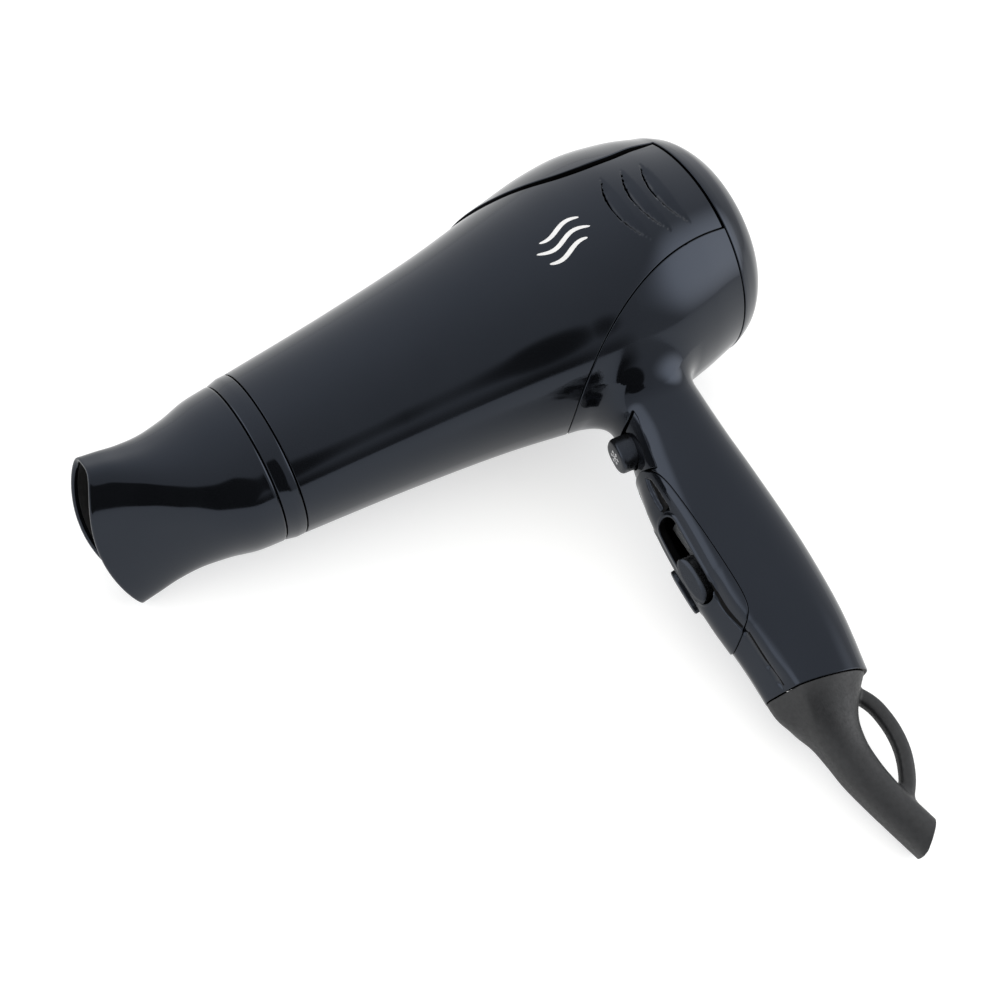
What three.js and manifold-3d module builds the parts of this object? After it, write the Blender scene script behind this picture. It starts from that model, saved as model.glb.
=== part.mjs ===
// A travel hair dryer: barrel, fan, heater, handle, switches, hanging loop and a nozzle that turns and pulls off.
// Lengths are in millimetres.
// Each piece is drawn with the dryer held level: X runs from the nozzle to the rear, Z is up and the left
// side faces -Y. One group at the end lays the whole dryer on its right side.
import * as THREE from "three";
import { mergeVertices } from "three/addons/utils/BufferGeometryUtils.js";
import Module from "manifold-3d";

const wasm = await Module();
wasm.setup();

// ---------------------------------------------------------------- driving dimensions
const WALL = 2;
const GAP = 0.3;
const SEGMENTS = 32;

const barrel = {
  frontX: -61,
  rearX: 80.5,
  // Outer outline as [x, radius]: a cone that swells over the fan and narrows at the rear cover.
  outline: [[-61, 24.8], [-27, 27.9], [5, 31.9], [30, 36.3], [45, 38.7], [57, 39.3], [69, 37.6], [80.5, 35]],
  spigotRadius: 21.9,
  spigotWall: 1.5,
  spigotLength: 4,
};
const rearCover = { backX: 91.5, rimOuter: 26.6, bore: 23.4, proud: 0.8, tongueTipX: 19.5, tongueHalfWidth: 33.8 };
const collar = { rearX: -61.3, frontX: -67, spigotX: -71.5, bore: 22.2, spigotOuter: 21.7, inner: 20.3 };
const nozzle = {
  baseX: -67.3, lipX: -115, wall: 1.4, lipBow: 6.2, turn: THREE.MathUtils.degToRad(57.5),
  // From base to lip: half length and half width of the section, and how square its corners are.
  sections: [[24, 24, 2], [23.2, 23.1, 2], [21.3, 20.2, 2.1], [20.5, 15.9, 2.5], [21.5, 12, 3], [23.2, 9.3, 3.5],
    [24.4, 8, 3.8]],
};
// The seam between the barrel and the handle shells is an arc in the side view.
const handleSeam = { x: 75.6, z: -97.6, radius: 83.7 };
// Handle cross-sections, top to bottom: height, centre x, half depth and half width. The wedge is how far the two
// front faces slope back for each millimetre aside from the blunt ridge between them.
const handle = {
  sections: [
    { z: -26, x: 44.2, depth: 16.7, width: 17.5, wedge: 0 },
    { z: -35, x: 44.1, depth: 14.8, width: 15.6, wedge: 0 },
    { z: -41, x: 44.2, depth: 13.5, width: 14.7, wedge: 0 },
    { z: -48, x: 43.9, depth: 13.5, width: 14.4, wedge: 0 },
    { z: -60, x: 42.2, depth: 15, width: 14.6, wedge: 0.25 },
    { z: -73, x: 40.75, depth: 16.65, width: 14.9, wedge: 0.48 },
    { z: -105, x: 39.05, depth: 17.45, width: 15, wedge: 0.5 },
    { z: -121, x: 38.3, depth: 16.3, width: 14.9, wedge: 0.48 },
    { z: -142, x: 35.2, depth: 14.4, width: 14.9, wedge: 0.4 },
  ],
  ridgeRadius: 2,
  footX: 35.8, footZ: -135.4, footTilt: THREE.MathUtils.degToRad(15.2),
};
const guard = {
  sections: [
    { z: -129, x: 37, depth: 15.1, width: 14.9, wedge: 0.45 },
    { z: -138, x: 36.1, depth: 14, width: 14.2, wedge: 0.4 },
    { z: -142.5, x: 34.7, depth: 10.8, width: 11.6, wedge: 0.25 },
    { z: -147.5, x: 33.6, depth: 7.7, width: 9.2 },
    { z: -154, x: 32.9, depth: 6.2, width: 7.4 },
    { z: -161, x: 33, depth: 5.8, width: 6.7 },
    { z: -169, x: 34.2, depth: 5.5, width: 6.3 },
    { z: -178, x: 36.3, depth: 5.5, width: 6 },
    { z: -196, x: 40.9, depth: 5.6, width: 6 },
  ],
  // The strap of the hanging loop, as its centre line in the side view.
  loop: [[40, -138.5], [44.8, -142.3], [47.4, -147], [48.2, -152.2], [48, -157.4], [46.8, -162.4],
    [44.6, -167], [42, -170.6], [38, -174.4]],
  strapDepth: 4.4, strapWidth: 4.8,
  endX: 37.8, endZ: -185, endTilt: THREE.MathUtils.degToRad(36.5),
  cordBore: 3.8,
};
const slots = { y: 4.9, width: 6.6, topZ: -73.4, bottomZ: -100.3 };
const slider = { length: 14.2, bottomZ: -99.8, proud: 2.2 };
const button = { z: -50, width: 9, height: 10.4, proud: 5, lean: THREE.MathUtils.degToRad(6) };
const duct = { frontX: 4, rearX: 52, outer: 28.9, inner: 27.5, hub: 13.8, vanes: 7 };
const motor = { frontX: 2, rearX: 32, radius: 12, shaft: 1, shaftEndX: 50 };
const fan = { frontX: 37, rearX: 49, hub: 9, tip: 26.9, blades: 9 };
const heater = { frontX: -50, rearX: -6, half: 17.2, board: 0.8, coilRadius: 19.2, wire: 0.6, sleeve: 22.7 };
const screws = [[50, -63], [47, -114], [36, -129]];
const lyingPose = { noseDrop: THREE.MathUtils.degToRad(5.79), handleDrop: THREE.MathUtils.degToRad(9.92) };

// ---------------------------------------------------------------- solids
function toSolid(geometry) {
  const bare = geometry.clone();
  bare.deleteAttribute("normal");
  bare.deleteAttribute("uv");
  const merged = mergeVertices(bare, 1e-4);
  const index = merged.index.array;
  const triangles = [];
  for (let i = 0; i < index.length; i += 3) {
    const [a, b, c] = [index[i], index[i + 1], index[i + 2]];
    if (a !== b && b !== c && c !== a) triangles.push(a, b, c);
  }
  return new wasm.Manifold(new wasm.Mesh({
    numProp: 3,
    vertProperties: Float32Array.from(merged.attributes.position.array),
    triVerts: Uint32Array.from(triangles),
  }));
}

function toGeometry(solid) {
  const data = solid.getMesh();
  const geometry = new THREE.BufferGeometry();
  geometry.setAttribute("position", new THREE.BufferAttribute(data.vertProperties, 3));
  geometry.setIndex(new THREE.BufferAttribute(data.triVerts, 1));
  geometry.computeVertexNormals();
  return geometry;
}

function join(...solids) {
  return solids.reduce((whole, next) => whole.add(next));
}

function cut(whole, ...tools) {
  return tools.reduce((rest, tool) => rest.subtract(tool), whole);
}

function box(x, y, z, [sizeX, sizeY, sizeZ]) {
  return toSolid(new THREE.BoxGeometry(sizeX, sizeY, sizeZ).translate(x, y, z));
}

// A solid of revolution about X from points [x, radius], counted so that the faces look outward.
function revolve(points, segments = SEGMENTS) {
  const profile = points.map(([x, radius]) => new THREE.Vector2(radius, x));
  const [first, last] = [profile[0], profile[profile.length - 1]];
  if (first.x > 0 || last.x > 0) profile.push(first.clone());
  const solid = new THREE.LatheGeometry(profile, segments).rotateZ(-Math.PI / 2);
  return outward(solid);
}

// A closed solid with its faces turned outward.
function outward(geometry) {
  const position = geometry.attributes.position;
  const index = geometry.index.array;
  const corners = [new THREE.Vector3(), new THREE.Vector3(), new THREE.Vector3()];
  let volume = 0;
  for (let i = 0; i < index.length; i += 3) {
    corners.forEach((corner, k) => corner.fromBufferAttribute(position, index[i + k]));
    volume += corners[0].dot(corners[1].clone().cross(corners[2]));
  }
  if (volume < 0) {
    for (let i = 0; i < index.length; i += 3) [index[i], index[i + 1]] = [index[i + 1], index[i]];
  }
  return toSolid(geometry);
}

// A closed solid through rings of points, with a fan of triangles on each end.
function loft(rings) {
  const count = rings[0].length;
  const middle = (ring) => ring.reduce((sum, point) => sum.add(point), new THREE.Vector3()).divideScalar(count);
  const points = [...rings.flat(), middle(rings[0]), middle(rings[rings.length - 1])];
  const startCentre = points.length - 2;
  const endCentre = points.length - 1;
  const lastRing = (rings.length - 1) * count;
  const triangles = [];
  for (let k = 0; k < count; k += 1) {
    const next = (k + 1) % count;
    for (let r = 0; r < lastRing; r += count) {
      triangles.push(r + k, r + next, r + count + next, r + k, r + count + next, r + count + k);
    }
    triangles.push(startCentre, next, k, endCentre, lastRing + k, lastRing + next);
  }
  const geometry = new THREE.BufferGeometry().setFromPoints(points);
  geometry.setIndex(triangles);
  return outward(geometry);
}

// A level oval ring: an ellipse whose sides are filled out a little, and whose front may be a wedge.
function ovalRing({ x, z, depth, width, wedge = 0 }, count = 24, fullness = 2.3) {
  const ring = [];
  for (let k = 0; k < count; k += 1) {
    const angle = (2 * Math.PI * k) / count;
    const across = Math.sign(Math.cos(angle)) * Math.abs(Math.cos(angle)) ** (2 / fullness);
    const along = Math.sign(Math.sin(angle)) * Math.abs(Math.sin(angle)) ** (2 / fullness);
    const aside = Math.hypot(width * along, handle.ridgeRadius) - handle.ridgeRadius;
    ring.push(new THREE.Vector3(Math.max(x + depth * across, x - depth + wedge * aside), width * along, z));
  }
  return ring;
}

function ovalLoft(sections, grow = 0, count = 24) {
  const rings = sections.map((section) =>
    ovalRing({ ...section, depth: section.depth + grow, width: section.width + grow }, count));
  return loft(rings);
}

// A shape drawn in the side view, X and Z, pushed out to both sides of the dryer.
function sidePrism(shape, halfWidth = 60) {
  const geometry = new THREE.ExtrudeGeometry(shape, { depth: halfWidth * 2, bevelEnabled: false, curveSegments: 8 });
  return toSolid(geometry.rotateX(Math.PI / 2).translate(0, halfWidth, 0));
}

// A shape drawn in the front view, Y and Z, pushed along X.
function frontPrism(shape, fromX, toX, y = 0, z = 0) {
  const geometry = new THREE.ExtrudeGeometry(shape, { depth: toX - fromX, bevelEnabled: false, curveSegments: 6 });
  geometry.rotateX(Math.PI / 2).rotateZ(Math.PI / 2);
  return toSolid(geometry.translate(fromX, y, z));
}

// A shape drawn in the plan view, X and Y, pushed up from a height.
function planPrism(shape, fromZ, toZ) {
  const options = { depth: toZ - fromZ, bevelEnabled: false, curveSegments: 12 };
  return toSolid(new THREE.ExtrudeGeometry(shape, options).translate(0, 0, fromZ));
}

// A rod along Y, for holes, bosses and screws.
function rodY(x, z, radius, fromY, toY, segments = 16) {
  const geometry = new THREE.CylinderGeometry(radius, radius, toY - fromY, segments);
  return toSolid(geometry.translate(x, (fromY + toY) / 2, z));
}

function rodX(radius, fromX, toX, y = 0, z = 0, segments = 24) {
  const geometry = new THREE.CylinderGeometry(radius, radius, toX - fromX, segments);
  return toSolid(geometry.rotateZ(Math.PI / 2).translate((fromX + toX) / 2, y, z));
}

function roundedSlot(width, height, radius) {
  const shape = new THREE.Shape();
  const [x, y] = [width / 2, height / 2];
  shape.absarc(x - radius, y - radius, radius, 0, Math.PI / 2);
  shape.absarc(-x + radius, y - radius, radius, Math.PI / 2, Math.PI);
  shape.absarc(-x + radius, -y + radius, radius, Math.PI, 1.5 * Math.PI);
  shape.absarc(x - radius, -y + radius, radius, 1.5 * Math.PI, 2 * Math.PI);
  return shape;
}

// A wire along a curve, with flat ends.
function wire(curve, radius, steps, corners = 6) {
  const section = new THREE.Shape();
  for (let k = 0; k < corners; k += 1) {
    const angle = (2 * Math.PI * k) / corners;
    section[k === 0 ? "moveTo" : "lineTo"](radius * Math.cos(angle), radius * Math.sin(angle));
  }
  return outward(mergeVertices(new THREE.ExtrudeGeometry(section, { steps, extrudePath: curve })
    .deleteAttribute("normal").deleteAttribute("uv")));
}

class Helix extends THREE.Curve {
  constructor(radius, length, turns, place) {
    super();
    Object.assign(this, { radius, length, turns, place });
  }

  getPoint(t, target = new THREE.Vector3()) {
    const angle = 2 * Math.PI * this.turns * t;
    target.set(this.length * t, this.radius * Math.cos(angle), this.radius * Math.sin(angle));
    return target.applyMatrix4(this.place);
  }
}

// ---------------------------------------------------------------- barrel
const barrelCurve = new THREE.SplineCurve(barrel.outline.map(([x, radius]) => new THREE.Vector2(x, radius)));
const barrelLine = barrelCurve.getPoints(10).map(({ x, y }) => [x, y]);

function barrelSolid(grow) {
  return revolve([[barrel.frontX, 0], ...barrelLine.map(([x, radius]) => [x, radius + grow]), [barrel.rearX, 0]]);
}

const barrelOuter = barrelSolid(0);
const barrelInner = barrelSolid(-WALL);

// The rear cover's tongue, seen from above.
function tongueShape(grow) {
  const half = rearCover.tongueHalfWidth + grow;
  const tip = rearCover.tongueTipX - grow;
  const shape = new THREE.Shape();
  shape.moveTo(95, half - 9);
  shape.lineTo(60, half);
  shape.bezierCurveTo(43, half + 1, 29, half * 0.75, tip, 4);
  shape.lineTo(tip, -4);
  shape.bezierCurveTo(29, -half * 0.75, 43, -half - 1, 60, -half);
  shape.lineTo(95, -half + 9);
  return shape;
}

function arcRod(grow) {
  return rodY(handleSeam.x, handleSeam.z, handleSeam.radius + grow, -60, 60, 96);
}

// Crescent air slots on each side, one behind the other.
function ventTools() {
  const tools = [];
  for (const x of [51.5, 58.5, 65.5]) {
    const crescent = new THREE.Shape();
    crescent.moveTo(x + 4.6, 14.8);
    crescent.quadraticCurveTo(x - 4.6, 3, x + 4.6, -9.8);
    crescent.quadraticCurveTo(x - 2.2, 3, x + 4.6, 14.8);
    tools.push(sidePrism(crescent));
  }
  return tools;
}

function side(solid, isLeft) {
  const y = isLeft ? -60 - GAP / 4 : 60 + GAP / 4;
  return solid.intersect(box(0, y, 0, [500, 120, 600]));
}

function barrelShell(isLeft) {
  const spigotRear = barrel.frontX + 3;
  const spigot = revolve([
    [barrel.frontX - barrel.spigotLength, barrel.spigotRadius - barrel.spigotWall],
    [barrel.frontX - barrel.spigotLength, barrel.spigotRadius],
    [spigotRear, barrel.spigotRadius],
    [spigotRear, barrel.spigotRadius + 2.4],
    [spigotRear + 0.5, barrel.spigotRadius + 2.4],
    [spigotRear + 0.5, barrel.spigotRadius - barrel.spigotWall],
  ]);
  const inner = cut(barrelInner, box(barrel.frontX, 0, 0, [6, 80, 80]));
  const frontDisc = revolve([[barrel.frontX, 0], [barrel.frontX, 24.8], [spigotRear, 25], [spigotRear, 0]]);
  const bore = rodX(barrel.spigotRadius - barrel.spigotWall, -80, -50);
  const shell = cut(join(cut(barrelOuter, inner), cut(frontDisc, bore), spigot), bore);
  const tongue = planPrism(tongueShape(GAP), 0, 80);
  return side(cut(shell, tongue, arcRod(GAP), ...ventTools()), isLeft);
}

function makeRearCover() {
  const ring = revolve([
    [barrel.rearX - 3, 30.4], [barrel.rearX - 3, 31.9], [barrel.rearX + 1.6, 31.9], [barrel.rearX + GAP, 35],
    [83.6, 33.9], [86.6, 32.2], [89, 30.2], [90.6, 28.3], [rearCover.backX, rearCover.rimOuter],
    [rearCover.backX, rearCover.bore], [87.6, rearCover.bore], [86, 27], [82, 29.6],
  ]);
  const skin = cut(barrelSolid(rearCover.proud), barrelInner);
  const skinRear = barrel.rearX + GAP + 0.1;
  const bridge = revolve([[barrel.rearX - 0.5, 31.6], [barrel.rearX - 0.5, 35.7], [skinRear, 35.7], [skinRear + 2, 31.6]]);
  const plan = planPrism(tongueShape(0), 0, 80);
  return join(ring, join(skin, bridge).intersect(plan));
}

function makeRearGrille() {
  const radius = rearCover.bore - GAP;
  const slats = [-17.5, -12.5, -7.5, -2.5, 2.5, 7.5, 12.5, 17.5].flatMap((z) => {
    const reach = Math.sqrt((radius - 2.5) ** 2 - (Math.abs(z) + 1.5) ** 2);
    return [-1, 1].map((hand) => box(89.5, (hand * (reach + 1)) / 2, z, [6, reach - 1, 3]));
  });
  return cut(rodX(radius, 88.6, 90.8, 0, 0, 32), ...slats);
}

function makeOutletGrille() {
  const radius = 22.4;
  const slots = [-14, -8.4, -2.8, 2.8, 8.4, 14].map((y) => {
    const reach = 2 * Math.sqrt((radius - 3) ** 2 - (Math.abs(y) + 1.7) ** 2);
    return box(-56, y, 0, [6, 3.4, reach]);
  });
  return cut(rodX(radius, -57, -55.4, 0, 0, 36), ...slots);
}

// ---------------------------------------------------------------- nozzle
function makeCollar() {
  return revolve([
    [collar.rearX, collar.bore], [collar.rearX, 24.8], [-63.6, 24.8], [-64, 24.6], [collar.frontX, 23.9],
    [collar.frontX, collar.spigotOuter], [collar.spigotX, collar.spigotOuter], [collar.spigotX, collar.inner],
    [-65.4, collar.inner], [-65.4, collar.bore],
  ]);
}

function nozzleRing(along, grow, count = 32) {
  const curve = new THREE.CatmullRomCurve3(nozzle.sections.map((section) => new THREE.Vector3(...section)));
  const section = curve.getPoint(THREE.MathUtils.clamp(along, 0, 1));
  const [length, width, fullness] = [section.x + grow, section.y + grow, section.z];
  const ring = [];
  for (let k = 0; k < count; k += 1) {
    const angle = (2 * Math.PI * k) / count;
    const long = Math.sign(Math.sin(angle)) * Math.abs(Math.sin(angle)) ** (2 / fullness) * length;
    const wide = Math.sign(Math.cos(angle)) * Math.abs(Math.cos(angle)) ** (2 / fullness) * width;
    const bow = nozzle.lipBow * Math.max(along, 0) ** 3 * (long / length) ** 2;
    const x = THREE.MathUtils.lerp(nozzle.baseX, nozzle.lipX, along) + bow;
    ring.push(new THREE.Vector3(x, wide, long).applyAxisAngle(new THREE.Vector3(1, 0, 0), nozzle.turn));
  }
  return ring;
}

function makeNozzle() {
  const steps = [0, 0.12, 0.28, 0.44, 0.6, 0.76, 0.9, 1];
  const outer = loft(steps.map((along) => nozzleRing(along, 0)));
  const inner = loft([-0.05, ...steps, 1.08].map((along) => nozzleRing(along, -nozzle.wall)));
  return cut(outer, inner);
}

// ---------------------------------------------------------------- handle
function handleCutBelow(drop) {
  const tilt = handle.footTilt;
  const block = new THREE.BoxGeometry(200, 200, 200).translate(0, 0, -100);
  block.rotateY(tilt).translate(handle.footX, 0, handle.footZ - drop);
  return toSolid(block);
}

const handleOuter = cut(ovalLoft(handle.sections), handleCutBelow(0));
const handleInner = ovalLoft(handle.sections, -WALL);

function sideShape(points) {
  const shape = new THREE.Shape();
  shape.moveTo(...points[0]);
  shape.splineThru(points.slice(1).map(([x, z]) => new THREE.Vector2(x, z)));
  shape.lineTo(0, points[points.length - 1][1]);
  shape.lineTo(0, points[0][1]);
  return shape;
}

// The side outlines of the switch panel and of the trim above it, each open toward the front.
function panelRegion(grow) {
  return sidePrism(sideShape([
    [18, -57 + grow], [27.2, -57.3 + grow], [28.7 + grow, -59.7], [29.7 + grow, -64], [29.8 + grow, -72],
    [29.4 + grow, -94],
    [28.6 + grow, -105.5], [26.4 + grow, -110.5 - grow], [21.4, -115.4 - grow], [16, -118.6 - grow],
  ]));
}

function trimRegion(grow) {
  const shape = new THREE.Shape();
  shape.moveTo(10, -45.4 + grow);
  shape.lineTo(30.8, -45 + grow);
  shape.lineTo(34 + grow, -43 + grow);
  shape.lineTo(33.9 + grow, -45.3);
  shape.lineTo(32.1 + grow, -52.8);
  shape.lineTo(30.4 + grow, -60.6 - grow);
  shape.lineTo(28.9, -59 - grow);
  shape.lineTo(27.4, -56.6 - grow);
  shape.lineTo(10, -56.5 - grow);
  return sidePrism(shape);
}

const bossRadius = 3;

function handleShell(isLeft) {
  const barrelPart = cut(barrelOuter, barrelInner).intersect(arcRod(0));
  const grip = cut(handleOuter, barrelInner);
  const hollow = cut(handleInner, handleCutBelow(60));
  const collarLine = cut(join(barrelPart, grip), hollow);
  const open = cut(collarLine, panelRegion(GAP), trimRegion(GAP));
  const half = side(open, isLeft);
  const bosses = screws.map(([x, z]) => rodY(x, z, bossRadius, isLeft ? -14 : 0.4, isLeft ? -0.4 : 14));
  const bossed = join(half, ...bosses.map((boss) => boss.intersect(ovalLoft(handle.sections, -0.8))));
  const holes = screws.flatMap(([x, z]) => (isLeft
    ? [rodY(x, z, 1.4, -9, 1)]
    : [rodY(x, z, 1.7, -1, 20), rodY(x, z, 2.9, 8, 20)]));
  return cut(bossed, ...holes);
}

function makeSwitchPanel() {
  const skin = cut(ovalLoft(handle.sections, 0.5), ovalLoft(handle.sections, -WALL));
  const openings = [-1, 1].map((hand) => {
    const middle = (slots.topZ + slots.bottomZ) / 2;
    return frontPrism(roundedSlot(slots.width, slots.topZ - slots.bottomZ, 3.2), 0, 40, hand * slots.y, middle);
  });
  return cut(skin.intersect(panelRegion(0)), ...openings);
}

function makeTrim() {
  const skin = cut(ovalLoft(handle.sections, -1.1), ovalLoft(handle.sections, -2.9));
  const region = trimRegion(0).intersect(cut(box(25, 0, -52, [60, 80, 60]), barrelSolid(GAP)));
  return cut(skin.intersect(region), buttonStem(GAP, 40));
}

// The cool-shot button's stem, along its own pressing line.
function buttonStem(grow, length, setBack = 0) {
  const shape = roundedSlot(button.width + 2 * grow, button.height + 2 * grow, 4.2 + grow);
  const geometry = new THREE.ExtrudeGeometry(shape, { depth: length, bevelEnabled: false, curveSegments: 6 });
  geometry.rotateX(Math.PI / 2).rotateZ(Math.PI / 2).translate(setBack, 0, 0);
  return toSolid(geometry.rotateY(button.lean).translate(30.8 - button.proud, 0, button.z));
}

function makeButton() {
  const flange = buttonStem(0.9, 1.2, button.proud + 3.4);
  return join(buttonStem(0, button.proud + 4), flange);
}

function makeSlider(hand) {
  const middle = slider.bottomZ + slider.length / 2;
  const knob = cut(ovalLoft(handle.sections, slider.proud), ovalLoft(handle.sections, -3.4));
  const face = frontPrism(roundedSlot(slots.width - 0.8, slider.length, 2.8), 0, 40, hand * slots.y, middle);
  return knob.intersect(face);
}

// ---------------------------------------------------------------- cord guard and loop
function makeGuard() {
  const body = ovalLoft(guard.sections, 0, 24);
  const points = guard.loop.map(([x, z]) => new THREE.Vector3(x, 0, z));
  const section = roundedSlot(guard.strapDepth, guard.strapWidth, 1.4);
  const strapGeometry = new THREE.ExtrudeGeometry(section, {
    steps: 16, curveSegments: 2, extrudePath: new THREE.CatmullRomCurve3(points),
  });
  const strap = outward(mergeVertices(strapGeometry.deleteAttribute("normal").deleteAttribute("uv")));
  const above = new THREE.BoxGeometry(200, 200, 200).translate(0, 0, 100);
  above.rotateY(handle.footTilt).translate(handle.footX, 0, handle.footZ - GAP);
  const below = new THREE.BoxGeometry(200, 200, 200).translate(0, 0, -100);
  below.rotateY(-guard.endTilt).translate(guard.endX, 0, guard.endZ);
  const bore = ovalLoft([
    { z: -128, x: 37.2, depth: 12.4, width: 11.8 }, { z: -138.5, x: 36, depth: 11.2, width: 11 },
    { z: -143, x: 34.2, depth: 7.6, width: 8 }, { z: -149, x: 33, depth: 4.6, width: 5 },
    ...guard.sections.slice(4).map(({ z, x }) => ({ z, x, depth: guard.cordBore, width: guard.cordBore })),
  ], 0, 16);
  return cut(join(body, strap), bore, toSolid(above), toSolid(below));
}

// ---------------------------------------------------------------- inside the barrel
function makeDuct() {
  const ring = revolve([[duct.frontX, duct.inner], [duct.frontX, duct.outer], [duct.rearX, duct.outer],
    [duct.rearX, duct.inner]], 36);
  const hub = cut(rodX(duct.hub, 5, 30), rodX(motor.radius + GAP, 4, 31));
  const vanes = [];
  for (let k = 0; k < duct.vanes; k += 1) {
    const vane = new THREE.BoxGeometry(14, 1.4, duct.inner - duct.hub + 1);
    vane.rotateZ(0.3).translate(20, 0, (duct.inner + duct.hub) / 2).rotateX((2 * Math.PI * k) / duct.vanes);
    vanes.push(cut(toSolid(vane), rodX(motor.radius + 1, 0, 40)));
  }
  return join(ring, hub, ...vanes);
}

function makeFan() {
  const hub = revolve([[fan.frontX, 1.3], [fan.frontX, fan.hub], [fan.rearX - 3, fan.hub], [fan.rearX, 6],
    [fan.rearX, 1.3]], 27);
  const blades = [];
  for (let k = 0; k < fan.blades; k += 1) {
    const reach = fan.tip - fan.hub + 1;
    const blade = new THREE.BoxGeometry(11, 1.2, reach, 1, 1, 3).translate(0, 0, reach / 2);
    const position = blade.attributes.position;
    for (let i = 0; i < position.count; i += 1) {
      const pitch = 0.95 - 0.45 * (position.getZ(i) / reach);
      const [x, y] = [position.getX(i), position.getY(i)];
      position.setX(i, (x * Math.cos(pitch) - y * Math.sin(pitch)) * 0.86);
      position.setY(i, x * Math.sin(pitch) + y * Math.cos(pitch));
    }
    blade.translate((fan.frontX + fan.rearX) / 2, 0, fan.hub - 1).rotateX((2 * Math.PI * k) / fan.blades);
    blades.push(toSolid(blade));
  }
  return join(hub, ...blades);
}

function makeMotor() {
  return join(rodX(motor.radius, motor.frontX, motor.rearX - 2, 0, 0, 28), rodX(4, motor.rearX - 3, motor.rearX));
}

function makeShaft() {
  return rodX(motor.shaft, motor.rearX + GAP, motor.shaftEndX, 0, 0, 12);
}

function makeBoard(isUpright) {
  const length = heater.rearX - heater.frontX;
  const middle = (heater.rearX + heater.frontX) / 2;
  const height = 2 * heater.half;
  const size = isUpright ? [length, heater.board, height] : [length, height, heater.board];
  const slotX = isUpright ? middle - length / 4 : middle + length / 4;
  const slotThickness = heater.board + 2 * GAP;
  return cut(box(middle, 0, 0, size), box(slotX, 0, 0, [length / 2 + 1, slotThickness, slotThickness]));
}

function makeCoil(startX, turns) {
  const place = new THREE.Matrix4().makeTranslation(startX, 0, 0);
  return wire(new Helix(heater.coilRadius, turns * 3.4, turns, place), heater.wire, turns * 10, 4);
}

function makeSleeve() {
  const [front, rear] = [heater.frontX - 1, heater.rearX + 1];
  const inner = heater.sleeve - 0.7;
  return revolve([[front, inner], [front, heater.sleeve], [rear, heater.sleeve], [rear, inner]], 36);
}

function makeThermostat() {
  return join(rodY(-40, 7, 5, 0.8, 4.2, 20), box(-40, 2.4, 7, [15, 0.8, 3]));
}

function makeFuse() {
  return join(rodX(1.7, -24, -14, -6, 7, 12), rodX(0.5, -28, -10, -6, 7, 8));
}

function makeRectifier() {
  const parts = [-5, 5].map((y) => box(-2.6, y, 0, [3, 3, 9]));
  return join(rodX(11, -1.2, GAP, 0, 0, 24), ...parts);
}

// ---------------------------------------------------------------- inside the handle
function makeSwitchBody(hand) {
  const body = box(35.8, hand * 5.6, -88, [8, 7.4, 28]);
  const terminals = [-98, -88, -78].map((z) => box(41.3, hand * 5.6, z, [4, 3, 0.8]));
  return join(body, ...terminals);
}

function makeCoolShotSwitch() {
  return join(box(47.2, 0, -51.4, [8, 8, 11]), box(42.9, 0, -51.2, [1.4, 2, 2.4]));
}

function makeSpring() {
  const place = new THREE.Matrix4().makeRotationY(button.lean);
  place.setPosition(35.7, 0, button.z - 0.55);
  return wire(new Helix(2.6, 5.1, 4, place), 0.35, 36, 4);
}

function makeCapacitor() {
  return join(box(40, 0, -109, [7, 11, 6]), ...[-3, 3].map((y) => rodX(0.5, 43, 46, y, -107.4, 6)));
}

function makeCordClamp() {
  const groove = toSolid(new THREE.CylinderGeometry(3.4, 3.4, 20, 20).rotateX(Math.PI / 2).translate(33.2, 0, -121));
  return cut(box(33.2, 4.4, -121, [8, 6, 6]), groove);
}

function makeScrew([x, z]) {
  return join(rodY(x, z, 1.15, -7.5, 9, 10), rodY(x, z, 2.5, 8.4, 10.4, 14));
}

// ---------------------------------------------------------------- finishes and assembly
function finish(color, roughness, metalness = 0) {
  return new THREE.MeshStandardMaterial({ color, roughness, metalness });
}

const finishes = {
  gloss: () => finish(0x1c1f24, 0.16),
  trim: () => finish(0x121316, 0.3),
  matte: () => finish(0x1b1c1f, 0.55),
  inner: () => finish(0x2a2b2e, 0.6),
  steel: () => finish(0xb4b6b8, 0.35, 1),
  mica: () => finish(0xc8b48a, 0.6),
  wire: () => finish(0x8a8680, 0.4, 1),
  ceramic: () => finish(0xe6e2d8, 0.5),
  board: () => finish(0x2f6b3f, 0.5),
  casing: () => finish(0x8f9296, 0.4),
};

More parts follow.
